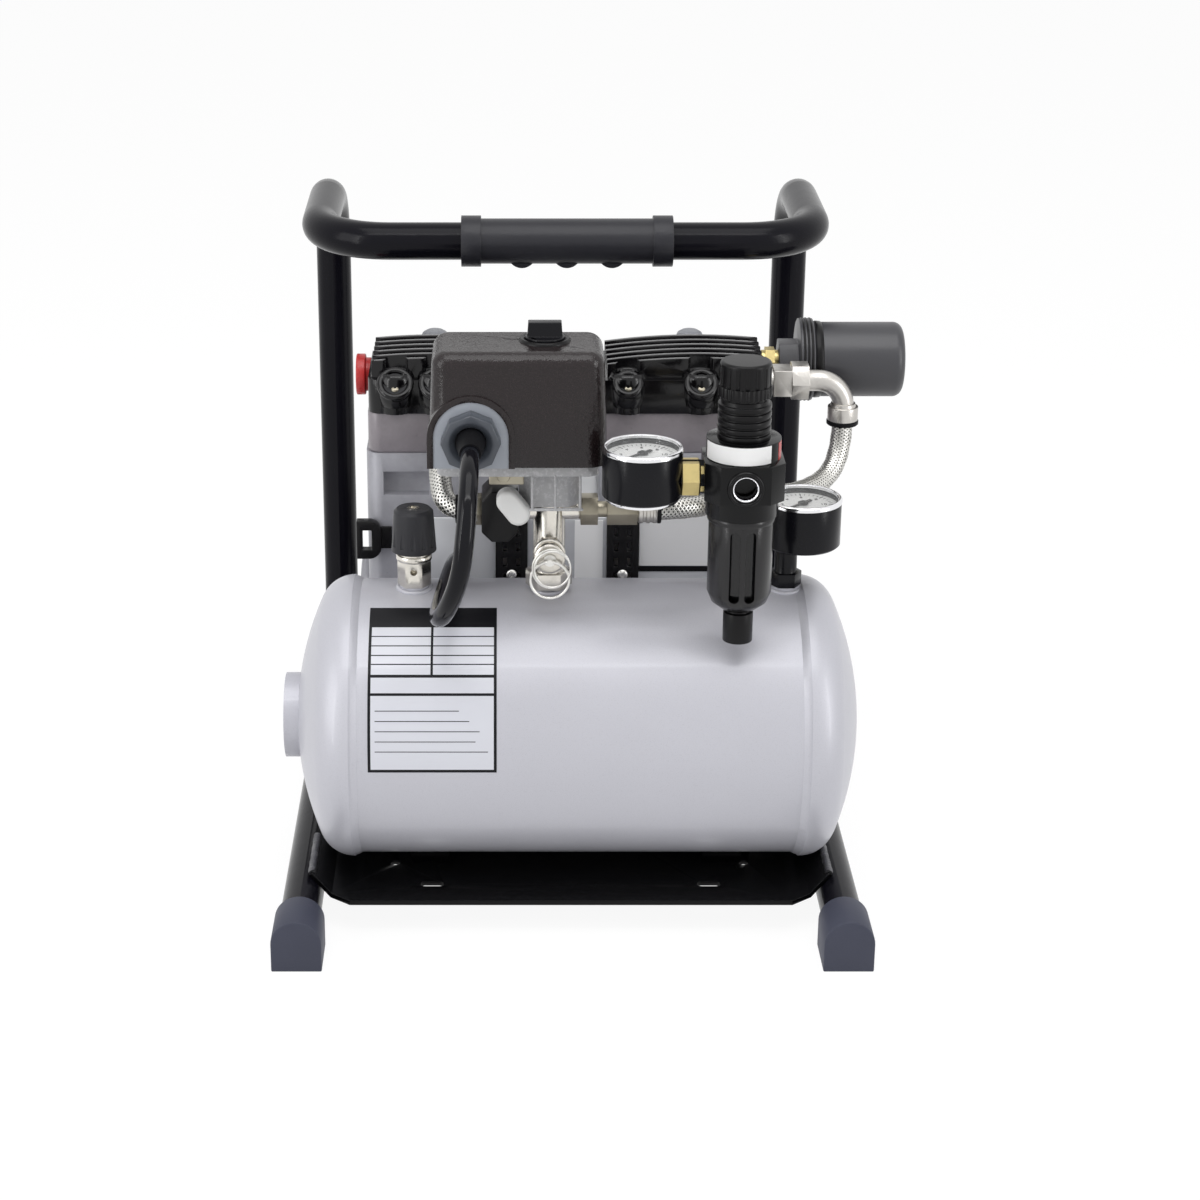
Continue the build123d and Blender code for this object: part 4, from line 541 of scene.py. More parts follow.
class Growth(Writer):
    """A Geometry Nodes tree with named sizes, built up by add and baked to a plain mesh."""

    def __init__(self, name, **sizes):
        super().__init__(bpy.data.node_groups.new(name, "GeometryNodeTree"))
        face = self.tree.interface
        face.new_socket("Geometry", in_out="INPUT", socket_type="NodeSocketGeometry")
        face.new_socket("Geometry", in_out="OUTPUT", socket_type="NodeSocketGeometry")
        self.sizes = sizes
        for key in sizes:
            face.new_socket(key, in_out="INPUT", socket_type="NodeSocketFloat")
        self.start = self.add("NodeGroupInput", out="Geometry")

    def size(self, key):
        return self.start.beside(key)

    def whole(self, key):
        """A size as a whole number."""
        return self.add("FunctionNodeFloatToInt", self.size(key))

    def vector(self, x, y, z):
        return self.add("ShaderNodeCombineXYZ", x, y, z)

    def arrow(self, operation, *vectors, **named):
        """Vector arithmetic."""
        return self.add("ShaderNodeVectorMath", *vectors, operation=operation, **named)

    def attribute(self, name, kind):
        return self.add("GeometryNodeInputNamedAttribute", Name=name, data_type=kind)

    def spread(self, points, thing, **named):
        """One copy of a thing on each point."""
        return self.add("GeometryNodeInstanceOnPoints", Points=points, Instance=thing, **named)

    def bake(self, source, result, name, finish, replaced=(), smooth=40):
        """Runs the tree on a source object and keeps what it makes as a mesh."""
        material = FINISHES[finish].material
        result = self.add("GeometryNodeRealizeInstances", Geometry=result)
        result = self.add("GeometryNodeSetMaterial", Geometry=result, Material=material)
        self.feed(self.tree.nodes.new("NodeGroupOutput").inputs[0], result)
        bpy.context.scene.collection.objects.link(source)
        growth = source.modifiers.new("growth", "NODES")
        growth.node_group = self.tree
        for item in self.tree.interface.items_tree:
            if item.in_out == "INPUT" and item.name in self.sizes:
                growth[item.identifier] = float(self.sizes[item.name])
        mesh = worked_out(source)
        source.modifiers.clear()
        bpy.data.objects.remove(source)
        return piece(name, mesh, finish, replaced=replaced, smooth=smooth)


def screws(name, places, radius, finish, rise=0.5):
    """Domed screw heads with a hexagon recess: (point in mm, outward direction) for each."""
    head_r = radius / 1000
    growth = Growth(name + "_growth", Head=head_r, Rise=rise * head_r, Recess=0.45 * head_r)
    head, high, recess = growth.size("Head"), growth.size("Rise"), growth.size("Recess")
    ball = growth.add("GeometryNodeMeshUVSphere", Segments=24, Rings=12, Radius=head)
    flat = growth.vector(1.0, 1.0, high / head)
    dome = growth.add("GeometryNodeTransform", Geometry=ball, Scale=flat)
    pit = growth.add("GeometryNodeMeshCylinder", Vertices=6, Radius=recess, Depth=high)
    lift = growth.vector(0.0, 0.0, high)
    pit = growth.add("GeometryNodeTransform", Geometry=pit, Translation=lift)
    screw = growth.add("GeometryNodeMeshBoolean", dome, pit, operation="DIFFERENCE")
    facing = growth.attribute("facing", "FLOAT_VECTOR")
    turned = growth.add("FunctionNodeAlignRotationToVector", Vector=facing, axis="Z")
    placed = growth.spread(growth.start, screw, Rotation=turned)
    mesh = bpy.data.meshes.new(name + "_places")
    mesh.from_pydata([at(*point) for point, _ in places], [], [])
    attribute = mesh.attributes.new("facing", "FLOAT_VECTOR", "POINT")
    for k, (_, direction) in enumerate(places):
        attribute.data[k].vector = direction
    growth.bake(bpy.data.objects.new(mesh.name, mesh), placed, name, finish)


# ---- Tank: lap welds, port welds, black saddles and the blank rating plate ----
SEAM = 112.0  # each lap weld from the tank's middle
PORT_WELD_R = 8.2
shell = nodes["tank_shell"].data
shell.materials.append(FINISHES["plate_black"].material)
saddle_top = at(0, 0, TANK[2] - SHELL_R + 0.6).z
for face in shell.polygons:
    if face.center.z < saddle_top and abs(face.normal.z) < 0.5:
        face.material_index = 1


def rippled(angle):
    return 1 + 0.0006 * math.sin(95 * angle) + 0.0005 * math.sin(37 * angle + 1)


welds = Shape()
for side in SIDES:
    welds.lathe(
        (TANK[0] + side * SEAM, TANK[1], TANK[2]),
        (-side, 0, 0),
        [
            (70.6, -2.6), (71.1, -1.2), (71.0, 0.2), (70.6, 1.5), (70.0, 2.8), (69.5, 3.8),
            (69.2, 2.6), (69.2, -1.8),
        ],
        480,
        rippled,
    )
for x in (DRAIN_X, MANIFOLD_X, REGULATOR[0], GAUGE_PORT_X):
    rim = []
    for k in range(48):
        across, forward = polar(PORT_WELD_R, math.tau * k / 48)
        rise = math.sqrt(SHELL_R**2 - forward**2) + 0.2
        rim.append(at(x + across, TANK[1] + forward, TANK[2] + rise))
    welds.bend(rim, 1.1, 8, closed=True)
welds.done("tank_welds", "tank_silver", smooth=60)


def on_tank(x0, x1, low, high, lift):
    """A patch of the shell between two X places and two angles up from the front."""
    def surface(u, v):
        angle = math.radians(low + (high - low) * v)
        normal = Vector((0, -math.cos(angle), math.sin(angle)))
        return at(x0 + (x1 - x0) * u, *TANK[1:]) + normal * (SHELL_R + lift) / 1000, normal

    return surface


PLATE_LEFT, PLATE_MID, PLATE_RIGHT = -99.2, -68.3, -36.8
CELL_LEFT, CELL_RIGHT = PLATE_LEFT + 1.4, PLATE_RIGHT - 1.4
CELL_TOPS = (61.9, 57.1, 52.6, 48.3, 44.4, 39.8)  # degrees up from the front
WIDE_CELLS = ((32.5, 38.8), (1.5, 31.4))
CELL_LIFT = 0.07
plate = Shape().sheet(on_tank(PLATE_LEFT, PLATE_RIGHT, 0.3, 72.9, -0.03), 4, 48, 0.13)
plate.done("rating_plate", "plate_ink", smooth=30)
cells = Shape()
for top, bottom in zip(CELL_TOPS, CELL_TOPS[1:]):
    for x0, x1 in ((CELL_LEFT, PLATE_MID - 0.6), (PLATE_MID + 0.6, CELL_RIGHT)):
        cells.sheet(on_tank(x0, x1, bottom + 0.25, top - 0.25, CELL_LIFT), 2, 4, 0.06)
for bottom, top in WIDE_CELLS:
    cells.sheet(on_tank(CELL_LEFT, CELL_RIGHT, bottom, top, CELL_LIFT), 2, 16, 0.06)
cells.done("rating_plate_cells", "plate_white", smooth=30)
rules = Shape()
for k, end in enumerate((-55.0, -50.0, -45.0, -47.0, -41.0)):
    low = 25.2 - 4.1 * k
    rules.sheet(on_tank(PLATE_LEFT + 3.5, end, low, low + 0.34, 0.12), 2, 1, 0.03)
rules.done("rating_plate_rules", "slate_plastic", smooth=30)

# ---- Heads: bulbous screw bosses, with lips at the front and black discs in them as painted shade of the hollows ----
FRONT_XS, BACK_XS = (31.0, 69.0, 90.0), (31.0, 90.0)  # head screws
BORE_R = 6.3
BOSS_LOW, FRONT_TOP, BACK_TOP = 228.5, 247.6, 241.6
INSET = 5.0  # screws from the block's front and back
LIP_RADII = (6.2, 7.2, 7.8)
LIP_Y, LIP_Z = BLOCK_FRONT - 2.2, 242.6
LOOK = Vector((0, -0.72, 0.69)).normalized()  # way that the lips face
bosses = Shape()
for side in SIDES:
    for xs, y, top in (
        (FRONT_XS, BLOCK_FRONT + INSET, FRONT_TOP),
        (BACK_XS, BLOCK_BACK - INSET, BACK_TOP),
    ):
        outline = [
            (BORE_R, 232.2), (BORE_R, top - 1.6), (6.7, top - 0.5), (7.6, top), (8.6, top - 0.6),
            (9.6, top - 3), (10.1, top - 7), (9.9, top - 12), (8.9, BOSS_LOW + 1.5),
            (7.0, BOSS_LOW), (BORE_R, BOSS_LOW + 1),
        ]
        for x in xs:
            bosses.lathe((side * x, y, 0), UP, outline)
bosses.done("head_screw_bosses", "head_cast", smooth=70)
lips, niche_shade, tips = Shape(), Shape(), []
for side in SIDES:
    for x, lip in zip(FRONT_XS, LIP_RADII):
        spot = (side * x, LIP_Y, LIP_Z)
        lips.ring(spot, LOOK, lip, 1.9, 48, 14)
        backing = [(0, -3.2), (lip + 1.0, -3.2), (lip + 1.6, -0.5), (lip - 0.6, 0.4), (0, 0.4)]
        lips.lathe(spot, LOOK, backing)
        # Black disc in each lip: painted shade standing for the dark depth of the screw's hollow.
        disc = [(0, 0.42), (lip - 1.1, 0.42), (lip - 0.8, 0.9), (lip - 1.1, 0.62), (0, 0.6)]
        niche_shade.lathe(spot, LOOK, disc)
        tip_y, tip_z = LIP_Y - 0.9 - 0.3 * lip * LOOK.z, LIP_Z + 0.6 - 0.42 * lip * 0.72
        tips.append(((side * x, tip_y, tip_z), LOOK))
lips.done("head_screw_lips", "head_cast", smooth=70)
niche_shade.done("head_screw_hollows", "plate_ink", smooth=30)
screws("head_screw_tips", tips, 2.0, "dull_nickel", 0.42)


# ---- Crankcases: covers with screws, rims and spokes, and ribs at the back ----
def on_cover(side, lift, radius, degrees):
    """A place on the face of a crankcase cover."""
    across, rise = polar(radius, math.radians(degrees))
    return side * (COVER_X + lift), SHAFT_Y + across, SHAFT_Z + rise


screws(
    "cover_screws",
    [(on_cover(side, 0, 26, 90 + 120 * k), (side, 0, 0)) for side in SIDES for k in range(3)],
    3.2,
    "bright_steel",
)
HUB_R, RIM_R = 10.0, 29.9  # ends of the spokes
rims = Shape()
for side in SIDES:
    foot, outwards = (side * COVER_X, SHAFT_Y, SHAFT_Z), (side, 0, 0)
    rim = [(29.8, -0.2), (29.8, 0.8), (30.3, 1.3), (31.3, 1.3), (31.8, 0.8), (31.8, -0.2)]
    rims.lathe(foot, outwards, rim, 96)
    rims.lathe(foot, outwards, [(0, 1.5), (8.6, 1.5), (9.6, 1.0), (10.2, -0.2), (0, -0.2)], 64)
    for k in range(6):
        rims.bend([at(*on_cover(side, 0.1, radius, 60 * k)) for radius in (HUB_R, RIM_R)], 0.8)
rims.done("cover_rims", "case_cast", smooth=50)
case_ribs = Shape()
for side in SIDES:
    for x in (58.0, 74.0, 90.0):
        middle = side * x
        case_ribs.box((middle - 1.4, 255.4, 62.0), (middle + 1.4, 258.4, 148.0), 1.2, 3)
case_ribs.done("crankcase_ribs", "case_cast", smooth=50)

# ---- Motor shroud: screws, a black disc as the painted shade of a hole, and blank plates ----
shroud_places = [((side * VENT_X, VENT_FRONT, 137.8), FORWARD) for side in SIDES]
for side in SIDES:
    for z in (70.0, 160.0):
        shroud_places.append(((side * 42.0, SHROUD_BACK, z), BACKWARD))
screws("shroud_screws", shroud_places, 2.9, "bright_steel")
# A thin black disc on the shroud's face: painted shade of a hole.
shade_disc = Shape().lathe(
    (55.0, SHROUD_FRONT, 164.2), FORWARD, [(0, 0.02), (1.7, 0.02), (1.7, 0.12), (0, 0.12)], 24
)
shade_disc.done("shroud_hole", "plate_ink")
for name, finish, (x0, x1), (z0, z1), sink, rise, edge in (
    ("motor_plate", "plate_bright", (4.0, 19.0), (118.0, 167.5), 0.4, 0.1, 0.1),
    ("shroud_plate", "plate_silver", (38.2, 75.0), (141.8, 170.2), 0.5, 0.35, 0.2),
    # A black strip along the plate's lower edge.
    ("shroud_gasket", "seal_rubber", (38.2, 75.0), (138.6, 141.6), 0.5, 0.1, 0.1),
):
    low, high = (x0, SHROUD_FRONT - sink, z0), (x1, SHROUD_FRONT + rise, z1)
    Shape().box(low, high, edge).done(name, finish)
rear_edge = Shape().box((-17.0, SHROUD_BACK - 0.3, 92.0), (17.0, SHROUD_BACK + 0.25, 132.0), 0.1)
rear_edge.done("rear_plate_edge", "plate_ink")
rear = Shape()
for low, high in ((92.8, 108.4), (109.2, 124.4)):
    rear.box((-16.2, SHROUD_BACK, low), (16.2, SHROUD_BACK + 0.35, high), 0.1)
rear.done("rear_plate_cells", "plate_white")

# ---- Switch: base screws, box edges, bracket and ring round the knob ----
SWITCH_TOP = 291.0
base_places = [((x, 72.2, 232.2), FORWARD) for x in (-34.0, 4.0)]
screws("switch_base_screws", base_places, 2.2, "bright_steel")
edges = Shape()
for x in (-19.6, -8.5, 3.4):
    edges.box((x - 0.7, 71.0, 212.8), (x + 0.7, 72.9, 231.0), 0.5, 2)
edges.box((-21.0, 71.2, 211.9), (5.0, 73.0, 213.3), 0.5, 2)
edges.done("switch_box_ribs", "pale_plastic", smooth=50)
bracket = Shape().box((-40.5, 74.6, 224.2), (-23.5, 77.2, 233.2), 0.7, 2)
bracket.lathe(
    (-33.5, 74.6, 228.8), FORWARD, [(0, -0.5), (3.1, -0.5), (3.3, 0.3), (2.9, 1.2), (0, 1.7)], 32
)
bracket.done("switch_bracket", "dull_nickel", smooth=50)
collar = [(9.9, -0.2), (9.9, 0.9), (10.5, 1.4), (11.6, 1.4), (12.4, 0.6), (12.6, -0.2)]
knob_collar = Shape().lathe((-13.6, 95.0, SWITCH_TOP), UP, collar)
knob_collar.done("switch_knob_collar", "black_plastic")

# ---- Drain valve: collar round the hexagon and disc in the knob's top ----
drain_foot = (DRAIN_X, TANK[1], BOSS_TOP)
collar = [(7.0, 13.2), (8.6, 13.2), (8.9, 13.8), (8.9, 15.4), (8.6, 16.0), (7.0, 16.0)]
disc = [(3.0, 39.2), (3.0, 40.4), (1.6, 40.4), (1.6, 39.4), (0, 39.2)]
trim = Shape().lathe(drain_foot, UP, collar).lathe(drain_foot, UP, disc, 24, loop=False)
trim.done("drain_valve_trim", "nickel")

# ---- Safety valve: spring with a collar and a front disc, and the split ring ----
RELIEF_Z = 186.0
SPRING_R, SPRING_BACK, SPRING_L, SPRING_TURNS = 5.0, 87.4, 12.6, 4.5
SPLIT_R, SPLIT_TURNS = 9.6, 2.1
coils = []
for k in range(120):
    share = k / 119
    across, rise = polar(SPRING_R, math.tau * SPRING_TURNS * share)
    coils.append(at(MANIFOLD_X + across, SPRING_BACK - SPRING_L * share, RELIEF_Z + rise))
spring = Shape().bend(coils, 0.75, 8)
for y, outline in (
    (88.4, [(6.4, 4.6), (7.6, 4.6), (7.9, 5.1), (7.9, 6.6), (7.6, 7.1), (6.4, 7.1)]),
    (74.6, [(1.9, -1.2), (7.4, -1.2), (7.7, -0.6), (7.4, 0.0), (4.6, 0.3), (1.9, 0.3)]),
):
    spring.lathe((MANIFOLD_X, y, RELIEF_Z), FORWARD, outline, 36)
spring.done("safety_valve_spring", "nickel", smooth=60)
turns = []
for k in range(150):
    angle = math.tau * SPLIT_TURNS * k / 149
    across, rise = polar(SPLIT_R + 0.5 * math.sin(0.5 * angle), angle)
    turns.append(at(-10.0 + across * 0.94, 69.6 - 0.75 * angle / math.tau, 183.0 + rise))
split_ring = Shape().bend(turns, 0.5, 8)
split_ring.done("safety_split_ring", "bright_steel", "safety_ring", smooth=60)


# ---- Filter-regulator: blank labels, port sleeve, knurling and the guard's rim ----
DRUM_R = 17.55
KNURLS = 32


def on_drum(low_angle, high_angle, z0, z1):
    """A patch of the regulator's drum; angles run from the front towards the right."""
    def surface(u, v):
        angle = math.radians(low_angle + (high_angle - low_angle) * u)
        normal = Vector((math.sin(angle), -math.cos(angle), 0))
        return at(*REGULATOR, z0 + (z1 - z0) * v) + normal * DRUM_R / 1000, normal

    return surface


def knurled(angle):
    return 1 + 0.02 * math.cos(KNURLS * angle)


label = Shape().sheet(on_drum(-78, 42, 248.0, 256.6), 32, 1, 0.15)
label.done("regulator_label", "plate_bright", smooth=30)
mark = Shape().sheet(on_drum(62, 78, 247.8, 256.4), 6, 1, 0.2)
mark.done("regulator_mark", "red_plastic", smooth=30)
port = (REGULATOR[0], REGULATOR_FRONT, OUTLET_Z)
outline = [(5.3, -5.0), (5.3, 0.0), (5.6, 0.5), (6.0, 0.8), (6.5, 0.8), (6.8, 0.4), (6.8, -5.0)]
Shape().lathe(port, FORWARD, outline).done("outlet_port_sleeve", "chrome")
outline = [(6.8, -0.5), (6.9, 1.0), (7.5, 1.6), (8.3, 1.4), (8.8, 0.6), (8.8, -0.5)]
port_rim = Shape().lathe(port, FORWARD, outline)
port_rim.done("outlet_port_rim", "regulator_cast", smooth=60)
outline = [(11.4, 0.6), (12.3, 1.0), (12.4, 5.5), (12.2, 6.0), (11.4, 6.0)]
knurl = Shape().lathe((*REGULATOR, 276.3), UP, outline, 192, knurled)
knurl.done("regulator_knob_knurl", "black_plastic", "regulator_knob", 60)
outline = [(15.2, -3.4), (16.0, -3.1), (16.3, -2.4), (16.3, -0.8), (15.9, -0.1), (15.2, -0.05)]
guard_rim = Shape().lathe((*REGULATOR, 219.2), UP, outline, 64)
guard_rim.done("bowl_guard_rim", "gun_metal", "filter_bowl")

# ---- Gauges: bezels, ticks, plain numbers and needle hubs ----
GAUGES = {"outlet": (32.0, 50.0, 251.5), "tank": (114.5, 100.0, 209.0)}  # top of each case
DIAL_DROP, HUB_DROP = 3.55, 2.7
DIAL_START, DIAL_SWEEP = 225, -270  # degrees
NUMBERS = "0 2 4 6 8 10 12".split()
NUMBER_R, NUMBER_SIZE = 0.0102, 0.0034  # metres


def dial_ticks(name, centre):
    growth = Growth(name + "_growth", Count=31.0, Radius=0.0142, Length=0.0022, Width=0.00028)
    count, radius = growth.size("Count"), growth.size("Radius")
    size = growth.vector(growth.size("Length"), growth.size("Width"), 0.00012)
    tick = growth.add("GeometryNodeMeshCube", Size=size)
    points = growth.add("GeometryNodePoints", Count=growth.whole("Count"))
    index = growth.add("GeometryNodeInputIndex")
    sweep = index / (count - 1.0)
    angle = sweep.math("MULTIPLY_ADD", math.radians(DIAL_SWEEP), math.radians(DIAL_START))
    place = growth.vector(angle.math("COSINE") * radius, angle.math("SINE") * radius, 0.0)
    points = growth.add("GeometryNodeSetPosition", Geometry=points, Position=place)
    fifth = index.math("MODULO", 5.0).math("LESS_THAN", 0.5)  # every fifth tick is larger
    stretch = growth.vector(
        fifth.math("MULTIPLY_ADD", 0.7, 0.7), fifth.math("MULTIPLY_ADD", 0.8, 1.0), 1.0
    )
    spin = growth.vector(0.0, 0.0, angle)
    marks = growth.spread(points, tick, Rotation=spin, Scale=stretch)
    marks = growth.add("GeometryNodeTransform", Geometry=marks, Translation=centre)
    holder = bpy.data.objects.new("ticks", bpy.data.meshes.new("ticks"))
    growth.bake(holder, marks, name, "plate_ink", smooth=0)


def dial_figures(name, centre):
    gathered = bmesh.new()
    for k, figure in enumerate(NUMBERS):
        words = bpy.data.curves.new("figure", "FONT")
        words.body = figure
        words.size = NUMBER_SIZE
        words.align_x, words.align_y = "CENTER", "CENTER"
        words.extrude = 0.00005
        holder = put("figure", words)
        flat = worked_out(holder)
        across, forward = polar(NUMBER_R, math.radians(DIAL_START - 45 * k))
        flat.transform(Matrix.Translation(centre + Vector((across, forward, 0))))
        gathered.from_mesh(flat)
        bpy.data.objects.remove(holder)
    mesh = bpy.data.meshes.new(name)
    gathered.to_mesh(mesh)
    gathered.free()
    piece(name, mesh, "plate_ink", smooth=0)


bezel = [
    (17.3, -0.9), (17.3, 0.35), (17.8, 0.7), (18.6, 0.6), (19.25, -0.1), (19.3, -1.5), (18.95, -1.7)
]
underside = [(0, 0.1), (17.9, 0.1), (18.0, -0.5), (17.6, -1.3), (0, -1.5)]
hub = [(0, 0.9), (1.3, 0.85), (1.7, 0.4), (1.7, 0.0), (0, 0.0)]
bezels = Shape()
for place in GAUGES.values():
    bezels.lathe(place, UP, bezel, 72)
x, y, z = GAUGES["outlet"]
bezels.lathe((x, y, z - 24.0), UP, underside, 72)
bezels.done("gauge_bezels", "chrome", smooth=50)
for gauge, (x, y, z) in GAUGES.items():
    centre = at(x, y, z - DIAL_DROP)
    dial_ticks(gauge + "_dial_ticks", centre)
    dial_figures(gauge + "_dial_figures", centre)
    needle_hub = Shape().lathe((x, y, z - HUB_DROP), UP, hub, 32)
    needle_hub.done(gauge + "_needle_hub", "knob_plastic", gauge + "_needle", smooth=60)

# ---- Brass stem between the outlet gauge and the regulator: a hexagon and a neck ----
stem = [
    (0, -0.8), (8.7, -0.8), (9.1, -0.3), (9.1, 7.4), (8.7, 7.9), (7.2, 8.3), (7.2, 10.6), (0, 10.7)
]
sleeve = Shape().lathe((51.0, REGULATOR[1], OUTLET_Z), RIGHT, stem, 6)
sleeve.done("gauge_stem_sleeve", "brass", smooth=30)

# ---- Intake filter: three rings and a band ----
INTAKE_Y, INTAKE_Z = 232.0, 241.6
band = [(19.6, 0.2), (20.5, 0.4), (20.7, 1.2), (20.5, 3.6), (20.0, 4.2), (19.6, 4.2)]
rings = Shape()
for k in range(3):
    rings.ring((126.0 + 2.1 * k, INTAKE_Y, INTAKE_Z), RIGHT, 21.6, 0.8, 72, 10)
rings.lathe((132.2, INTAKE_Y, INTAKE_Z), RIGHT, band, 72)
rings.done("intake_rings", "black_plastic", smooth=60)

# ---- Frame: weld beads between plate and rails ----
SEAM_X, SEAM_Z, SEAM_STEP = 129.6, 25.8, 0.75
seams = Shape()
for side in SIDES:
    for start, steps in ((54.0, 56), (150.0, 32), (238.0, 32)):
        run = []
        for k in range(steps):
            x, z = SEAM_X + 0.3 * math.sin(1.9 * k), SEAM_Z + 0.35 * math.sin(2.3 * k)
            run.append(at(side * x, start + SEAM_STEP * k, z))
        seams.bend(run, 1.9)
seams.done("plate_welds", "weld_bead", smooth=60)

# ---- Air hoses: steel braid over a rubber core, with ferrules and bands ----
HOSES = {
    "left": [
        (-51, 100, UNION_Z), (-62, 100, UNION_Z), (-65.5, 114, 214), (-65, 132, 226),
        (-57, 149, 235), (-50, 160, 238), (-50, 170, 238),
    ],
    "right": [
        (38, 100, UNION_Z), (53, 100, UNION_Z), (76, 119, 200), (97, 143, 194), (120, 166, 188),
        (138, 186, 190), (145, 196, 204), (145, 196, 217.5),
    ],
}
CORE_R = 0.0049  # metres
BRAID = {"Radius": 0.0052, "Strands": 12.0, "Pitch": 0.024, "Lift": 0.00024}
WIRE_R = 0.0005


def route_curve(name, points, fineness):
    """A NURBS curve with the route's points, in metres, as its control points."""
    curve = bpy.data.curves.new(name, "CURVE")
    curve.dimensions = "3D"
    curve.resolution_u = fineness
    run = curve.splines.new("NURBS")
    run.points.add(len(points) - 1)
    for point, place in zip(run.points, points):
        point.co = (*place, 1)
    run.order_u = 3
    run.use_endpoint_u = True
    return curve


def hose_braid(name, places):
    """Two sets of wires wound opposite ways round the route, over and under one another."""
    growth = Growth(name + "_growth", **BRAID)
    strands, pitch, lift = growth.size("Strands"), growth.size("Pitch"), growth.size("Lift")
    line = growth.add(
        "GeometryNodeResampleCurve", Curve=growth.start, Length=0.0009, mode="LENGTH"
    )
    tangent = growth.add("GeometryNodeInputTangent")
    normal = growth.add("GeometryNodeInputNormal")
    other = growth.arrow("CROSS_PRODUCT", tangent, normal)
    travelled = growth.add("GeometryNodeSplineParameter", out="Length")
    kept = []
    for value, kind in ((normal, "FLOAT_VECTOR"), (other, "FLOAT_VECTOR"), (travelled, "FLOAT")):
        label = f"kept_{len(kept)}"
        line = growth.add(
            "GeometryNodeStoreNamedAttribute",
            Geometry=line,
            Name=label,
            Value=value,
            data_type=kind,
            domain="POINT",
        )
        kept.append(growth.attribute(label, kind))
    normal, other, travelled = kept
    wound = travelled * math.tau / pitch
    over = (wound * strands).math("COSINE") * lift
    both = growth.add("GeometryNodeJoinGeometry")
    for hand in (-1.0, 1.0):
        amount = growth.whole("Strands")
        copies = growth.add(
            "GeometryNodeDuplicateElements", Geometry=line, Amount=amount, domain="SPLINE"
        )
        start = copies.beside("Duplicate Index") * math.tau / strands
        angle = wound.math("MULTIPLY_ADD", hand, start)
        radial = growth.arrow(
            "ADD",
            growth.arrow("SCALE", normal, Scale=angle.math("COSINE")),
            growth.arrow("SCALE", other, Scale=angle.math("SINE")),
        )
        reach = growth.size("Radius") + over * hand
        offset = growth.arrow("SCALE", radial, Scale=reach)
        strand = growth.add("GeometryNodeSetPosition", Geometry=copies, Offset=offset)
        strand = growth.add(
            "GeometryNodeSetCurveNormal", Curve=strand, Normal=radial, mode="FREE"
        )
        growth.feed(both.socket.node.inputs[0], strand)
    wire = growth.add("GeometryNodeCurvePrimitiveCircle", Resolution=6, Radius=WIRE_R)
    oval = growth.add("GeometryNodeTransform", Geometry=wire, Scale=(0.5, 1.0, 1.0))
    braid = growth.add("GeometryNodeCurveToMesh", Curve=both, Profile_Curve=oval)
    line_object = bpy.data.objects.new("hose_line", route_curve("hose_line", places, 12))
    growth.bake(line_object, braid, name, "braid_steel", ("air_hoses",), 60)


def hose_core(name, places):
    core = route_curve(name, places, 12)
    core.bevel_depth = CORE_R
    core.bevel_resolution = 5
    holder = put(name, core)
    mesh = worked_out(holder)
    bpy.data.objects.remove(holder)
    piece(name, mesh, "seal_rubber", smooth=60)


for name, route in HOSES.items():
    places = [at(*p) for p in route]
    hose_braid(name + "_hose_braid", places)
    hose_core(name + "_hose_core", places)

grooved = [
    (4.6, -1.5), (6.6, -1.5), (7.1, -0.9), (7.1, 0.6), (6.6, 1.0), (6.6, 2.2), (7.1, 2.6),
    (7.1, 4.0), (6.6, 4.4), (6.6, 5.6), (7.1, 6.0), (7.1, 7.4), (6.6, 8.0), (4.6, 8.0),
]
end_band = [(4.8, 7.9), (6.9, 7.9), (7.2, 8.3), (7.2, 9.4), (6.8, 9.8), (4.8, 9.8)]
tapered = [
    (4.6, 0.2), (7.6, 0.2), (7.7, 2.6), (7.3, 6.0), (6.9, 9.0), (6.4, 11.0), (5.2, 11.4),
    (4.6, 11.0),
]
wide_band = [(4.8, 0.0), (7.9, 0.0), (8.4, 0.5), (8.4, 2.2), (7.9, 2.7), (4.8, 2.7)]
ferrules, bands = Shape(), Shape()
for foot, direction in (
    ((-47.5, 100, UNION_Z), LEFT),
    ((34.5, 100, UNION_Z), RIGHT),
    ((-50, 173.5, 238), FORWARD),
):
    ferrules.lathe(foot, direction, grooved)
    bands.lathe(foot, direction, end_band)
ferrules.lathe((145, 196, 217.2), UP, tapered)
bands.lathe((145, 196, 216.6), UP, wide_band)
ferrules.done("hose_ferrules", "satin_nickel", smooth=40)
bands.done("hose_bands", "seal_rubber", smooth=40)

# ---- Mains lead: over the tank, under the motor and into a coil, in mm of the CAD ----
CORD_RADIUS = 0.0045
LEAD_ROUTE = [
    (-66, -152.5, 250.5), (-66, -165.5, 250.5), (-66.5, -181.4, 242), (-67.5, -191.5, 227.1),
    (-70, -193.8, 205.2), (-76, -186.3, 186.7), (-81, -172.5, 175.1), (-81.5, -148.5, 170.3),
    (-79, -116.5, 169.5), (-75.5, -80.5, 169.5), (-74, -44.5, 157.5), (-73, -23.5, 131.5),
    (-71, -17.75, 98), (-68.5, -16.75, 70), (-67, -14.25, 52), (-67, -5.25, 36.5),
    (-67, 7.75, 27.2), (-67, 25.25, 24), (-67.5, 60.25, 24), (-69.5, 99.5, 24.8),
    (-73, 117.5, 20.5), (-75.5, 132.5, 11.5), (-77, 146.5, 6), (-77, 165.2, 5),
]
PLUG_END = [(32, 184, 15.0), (32, 172, 17.0), (32, 161, 17.5)]
COIL_X, COIL_Y = -22.5, 197.5
OUTER_TURN, INNER_TURN = 55.6, 46.3
LOW_TURN, HIGH_TURN = 4.8, 14.0
COIL_STEP, COIL_END = 24, 1260  # degrees wound, clockwise from above


def eased(angle, start, end):
    part = min(1, max(0, (angle - start) / (end - start)))
    return part * part * (3 - 2 * part)


